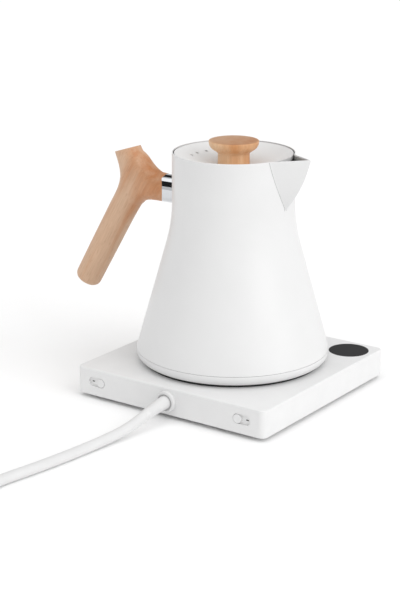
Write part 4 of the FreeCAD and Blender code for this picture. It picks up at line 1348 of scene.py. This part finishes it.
@dataclass
class CoilTie:
    """Woven strap round the bundled turns of the cord."""

    thickness: float = 0.0012
    round_radius: float = 0.0036
    margin: float = 0.0001

    def build(self) -> None:
        """Wrap the strap round the coil's near side."""
        low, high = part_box("cord_tie")
        size = high - low
        middle = (low + high) / 2
        shape = bmesh.new()
        place = Matrix.Translation(middle) @ Matrix.Diagonal(
            (size.x - 2 * self.margin, size.y, size.z - 2 * self.margin, 1))
        bmesh.ops.create_cube(shape, size=1.0, matrix=place)
        along = [edge for edge in shape.edges
                 if abs(edge.verts[0].co.y - edge.verts[1].co.y) > size.y / 2]
        bmesh.ops.bevel(shape, geom=along, affect="EDGES", offset=self.round_radius,
                        segments=8, profile=0.5, material=-1)
        ends = [face for face in shape.faces if abs(face.normal.y) > FACING]
        bmesh.ops.delete(shape, geom=ends, context="FACES")
        bmesh.ops.solidify(shape, geom=shape.faces[:], thickness=self.thickness)
        set_piece(shape, "coil_strap", Body.BASE, Slot.TIE_FABRIC, stands_for=("cord_tie",))


@dataclass
class MainsPlug:
    """Moulded plug with a ribbed relief and a finger grip."""

    relief_length: float = 0.022
    relief_root: float = 0.0075
    relief_tip: float = 0.0048
    ribs: int = 6
    rib_depth: float = 0.0009
    # Along one rib: share of its pitch, share of the groove's depth.
    rib_outline: tuple[Point, ...] = ((0.08, 0.0), (0.5, 0.0), (0.58, 1.0), (0.98, 1.0))
    tip_round: float = 0.4 * MM
    overlap: float = MM
    edge_round: float = 0.0035
    side_share: float = 0.2
    grip_margin: float = 2 * MM
    grip_slope: float = 0.8 * MM
    grip_inset: float = 0.0012

    def relief(self, middle: Vector) -> bpy.types.Object:
        """Turn the ribbed relief, with its tip on the cord.

        Args:
            middle: Where the cord enters.

        Returns:
            The relief.
        """
        outline = [(0.0, 0.0), (self.relief_tip - self.tip_round, 0.0)]
        for rib in range(self.ribs):
            for share, dip in self.rib_outline:
                along = (rib + share) / self.ribs
                radius = self.relief_tip + (self.relief_root - self.relief_tip) * along
                outline.append((radius - dip * self.rib_depth, along * self.relief_length))
        outline += [(self.relief_root, self.relief_length + self.overlap),
                    (0.0, self.relief_length + self.overlap)]
        shape = turned_to(lathe(outline, turns=64), "Y", middle)
        return set_piece(shape, "plug_relief", Body.BASE, Slot.CORD_VINYL)

    def grip(self) -> bpy.types.Object:
        """Make the plug's body, waisted for the fingers.

        Returns:
            The body.
        """
        low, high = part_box("plug_body")
        start = low.y + self.relief_length
        size = Vector((high.x - low.x, high.y - start, high.z - low.z))
        middle = Vector(((low.x + high.x) / 2, (start + high.y) / 2, (low.z + high.z) / 2))
        shape = bmesh.new()
        place = Matrix.Translation(middle) @ Matrix.Diagonal((size.x, size.y, size.z, 1))
        bmesh.ops.create_cube(shape, size=1.0, matrix=place)
        bmesh.ops.bevel(shape, geom=shape.edges[:], affect="EDGES", offset=self.edge_round,
                        segments=6, profile=0.5, material=-1)
        least = self.side_share * size.y * size.z
        sides = [face for face in shape.faces
                 if abs(face.normal.x) > FACING and face.calc_area() > least]
        bmesh.ops.inset_region(shape, faces=sides, thickness=self.grip_margin, depth=0.0)
        bmesh.ops.inset_region(shape, faces=sides, thickness=self.grip_slope,
                               depth=-self.grip_inset)
        return set_piece(shape, "plug_grip", Body.BASE, Slot.CORD_VINYL, sharp=50.0,
                         stands_for=("plug_body",))

    def build(self) -> None:
        """Make the relief and the body."""
        low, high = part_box("plug_body")
        self.relief(Vector(((low.x + high.x) / 2, low.y, (low.z + high.z) / 2)))
        self.grip()


@dataclass
class SlideSwitch:
    """Dust seal behind one slide switch's thumb, with a mark at each end."""

    side: int
    spread: float = 0.0662
    height: float = 0.014
    recess_floor: float = 0.0839
    seal_length: float = 0.0146
    seal_height: float = 0.0071
    seal_thickness: float = 0.0004
    proud: float = 0.00003
    mark_place: float = 0.0042
    mark_thickness: float = 0.00004
    bar_size: float = 1.1 * MM
    bar_height: float = 0.8
    ring_size: float = 1.0 * MM
    ring_bore: float = 0.62
    end_share: float = 0.499

    def pill(self, length: float, height: float) -> bmesh.types.BMesh:
        """Make a flat round-ended plate of the seal's thickness, standing up.

        Args:
            length: Its length along X.
            height: Its height along Z.

        Returns:
            The plate, about the middle of the recess floor.
        """
        shape = bmesh.new()
        bmesh.ops.create_cube(shape, size=1.0,
                              matrix=Matrix.Diagonal((length, self.seal_thickness, height, 1)))
        ends = [edge for edge in shape.edges
                if abs(edge.verts[0].co.y - edge.verts[1].co.y) > 0.5 * self.seal_thickness]
        bmesh.ops.bevel(shape, geom=ends, affect="EDGES", offset=self.end_share * height,
                        segments=12, profile=0.5, material=-1)
        return shape

    def mark(self, name: str, across: float, size: float, is_ring: bool) -> None:
        """Print one mark on the seal.

        Args:
            name: The mark's name.
            across: Its place from the switch's middle, along X.
            size: Half its width.
            is_ring: Whether it is a ring; otherwise it is a bar.
        """
        if is_ring:
            bore = self.ring_bore * size
            outline = [(bore, 0.0), (size, 0.0), (size, self.mark_thickness),
                       (bore, self.mark_thickness)]
            shape = lathe(outline, turns=32, ring=True)
        else:
            shape = bmesh.new()
            bmesh.ops.create_cube(shape, size=1.0, matrix=Matrix.Diagonal(
                (2 * size, self.bar_height * size, 2 * self.mark_thickness, 1)))
        spot = Vector((self.side * self.spread + across, self.recess_floor + self.proud,
                       self.height))
        set_piece(turned_to(shape, "Y", spot), name, Body.BASE, Slot.DARK_PLASTIC,
                  (MARK_INK,))

    def build(self) -> None:
        """Make the seal and its marks."""
        label = "unit" if self.side > 0 else "hold"
        seal = self.pill(self.seal_length, self.seal_height)
        back = self.recess_floor + self.proud - self.seal_thickness / 2
        bmesh.ops.translate(seal, verts=seal.verts[:],
                            vec=(self.side * self.spread, back, self.height))
        set_piece(seal, label + "_switch_seal", Body.BASE, Slot.BASE_PLASTIC)
        self.mark(label + "_switch_bar", self.side * self.mark_place, self.bar_size, False)
        self.mark(label + "_switch_ring", -self.side * self.mark_place, self.ring_size, True)


def main() -> None:
    """Build the studio, then every sub-assembly in order."""
    dress_parts(frame)
    Studio().build()
    KettleBody().build()
    Handle().build()
    Lid().build()
    StrainRelief().build()
    CoilTie().build()
    MainsPlug().build()
    MainsCord().build()
    for side in (-1, 1):
        SlideSwitch(side).build()


if __name__ == "__main__":
    logging.basicConfig(level=logging.INFO, format="%(message)s")
    main()
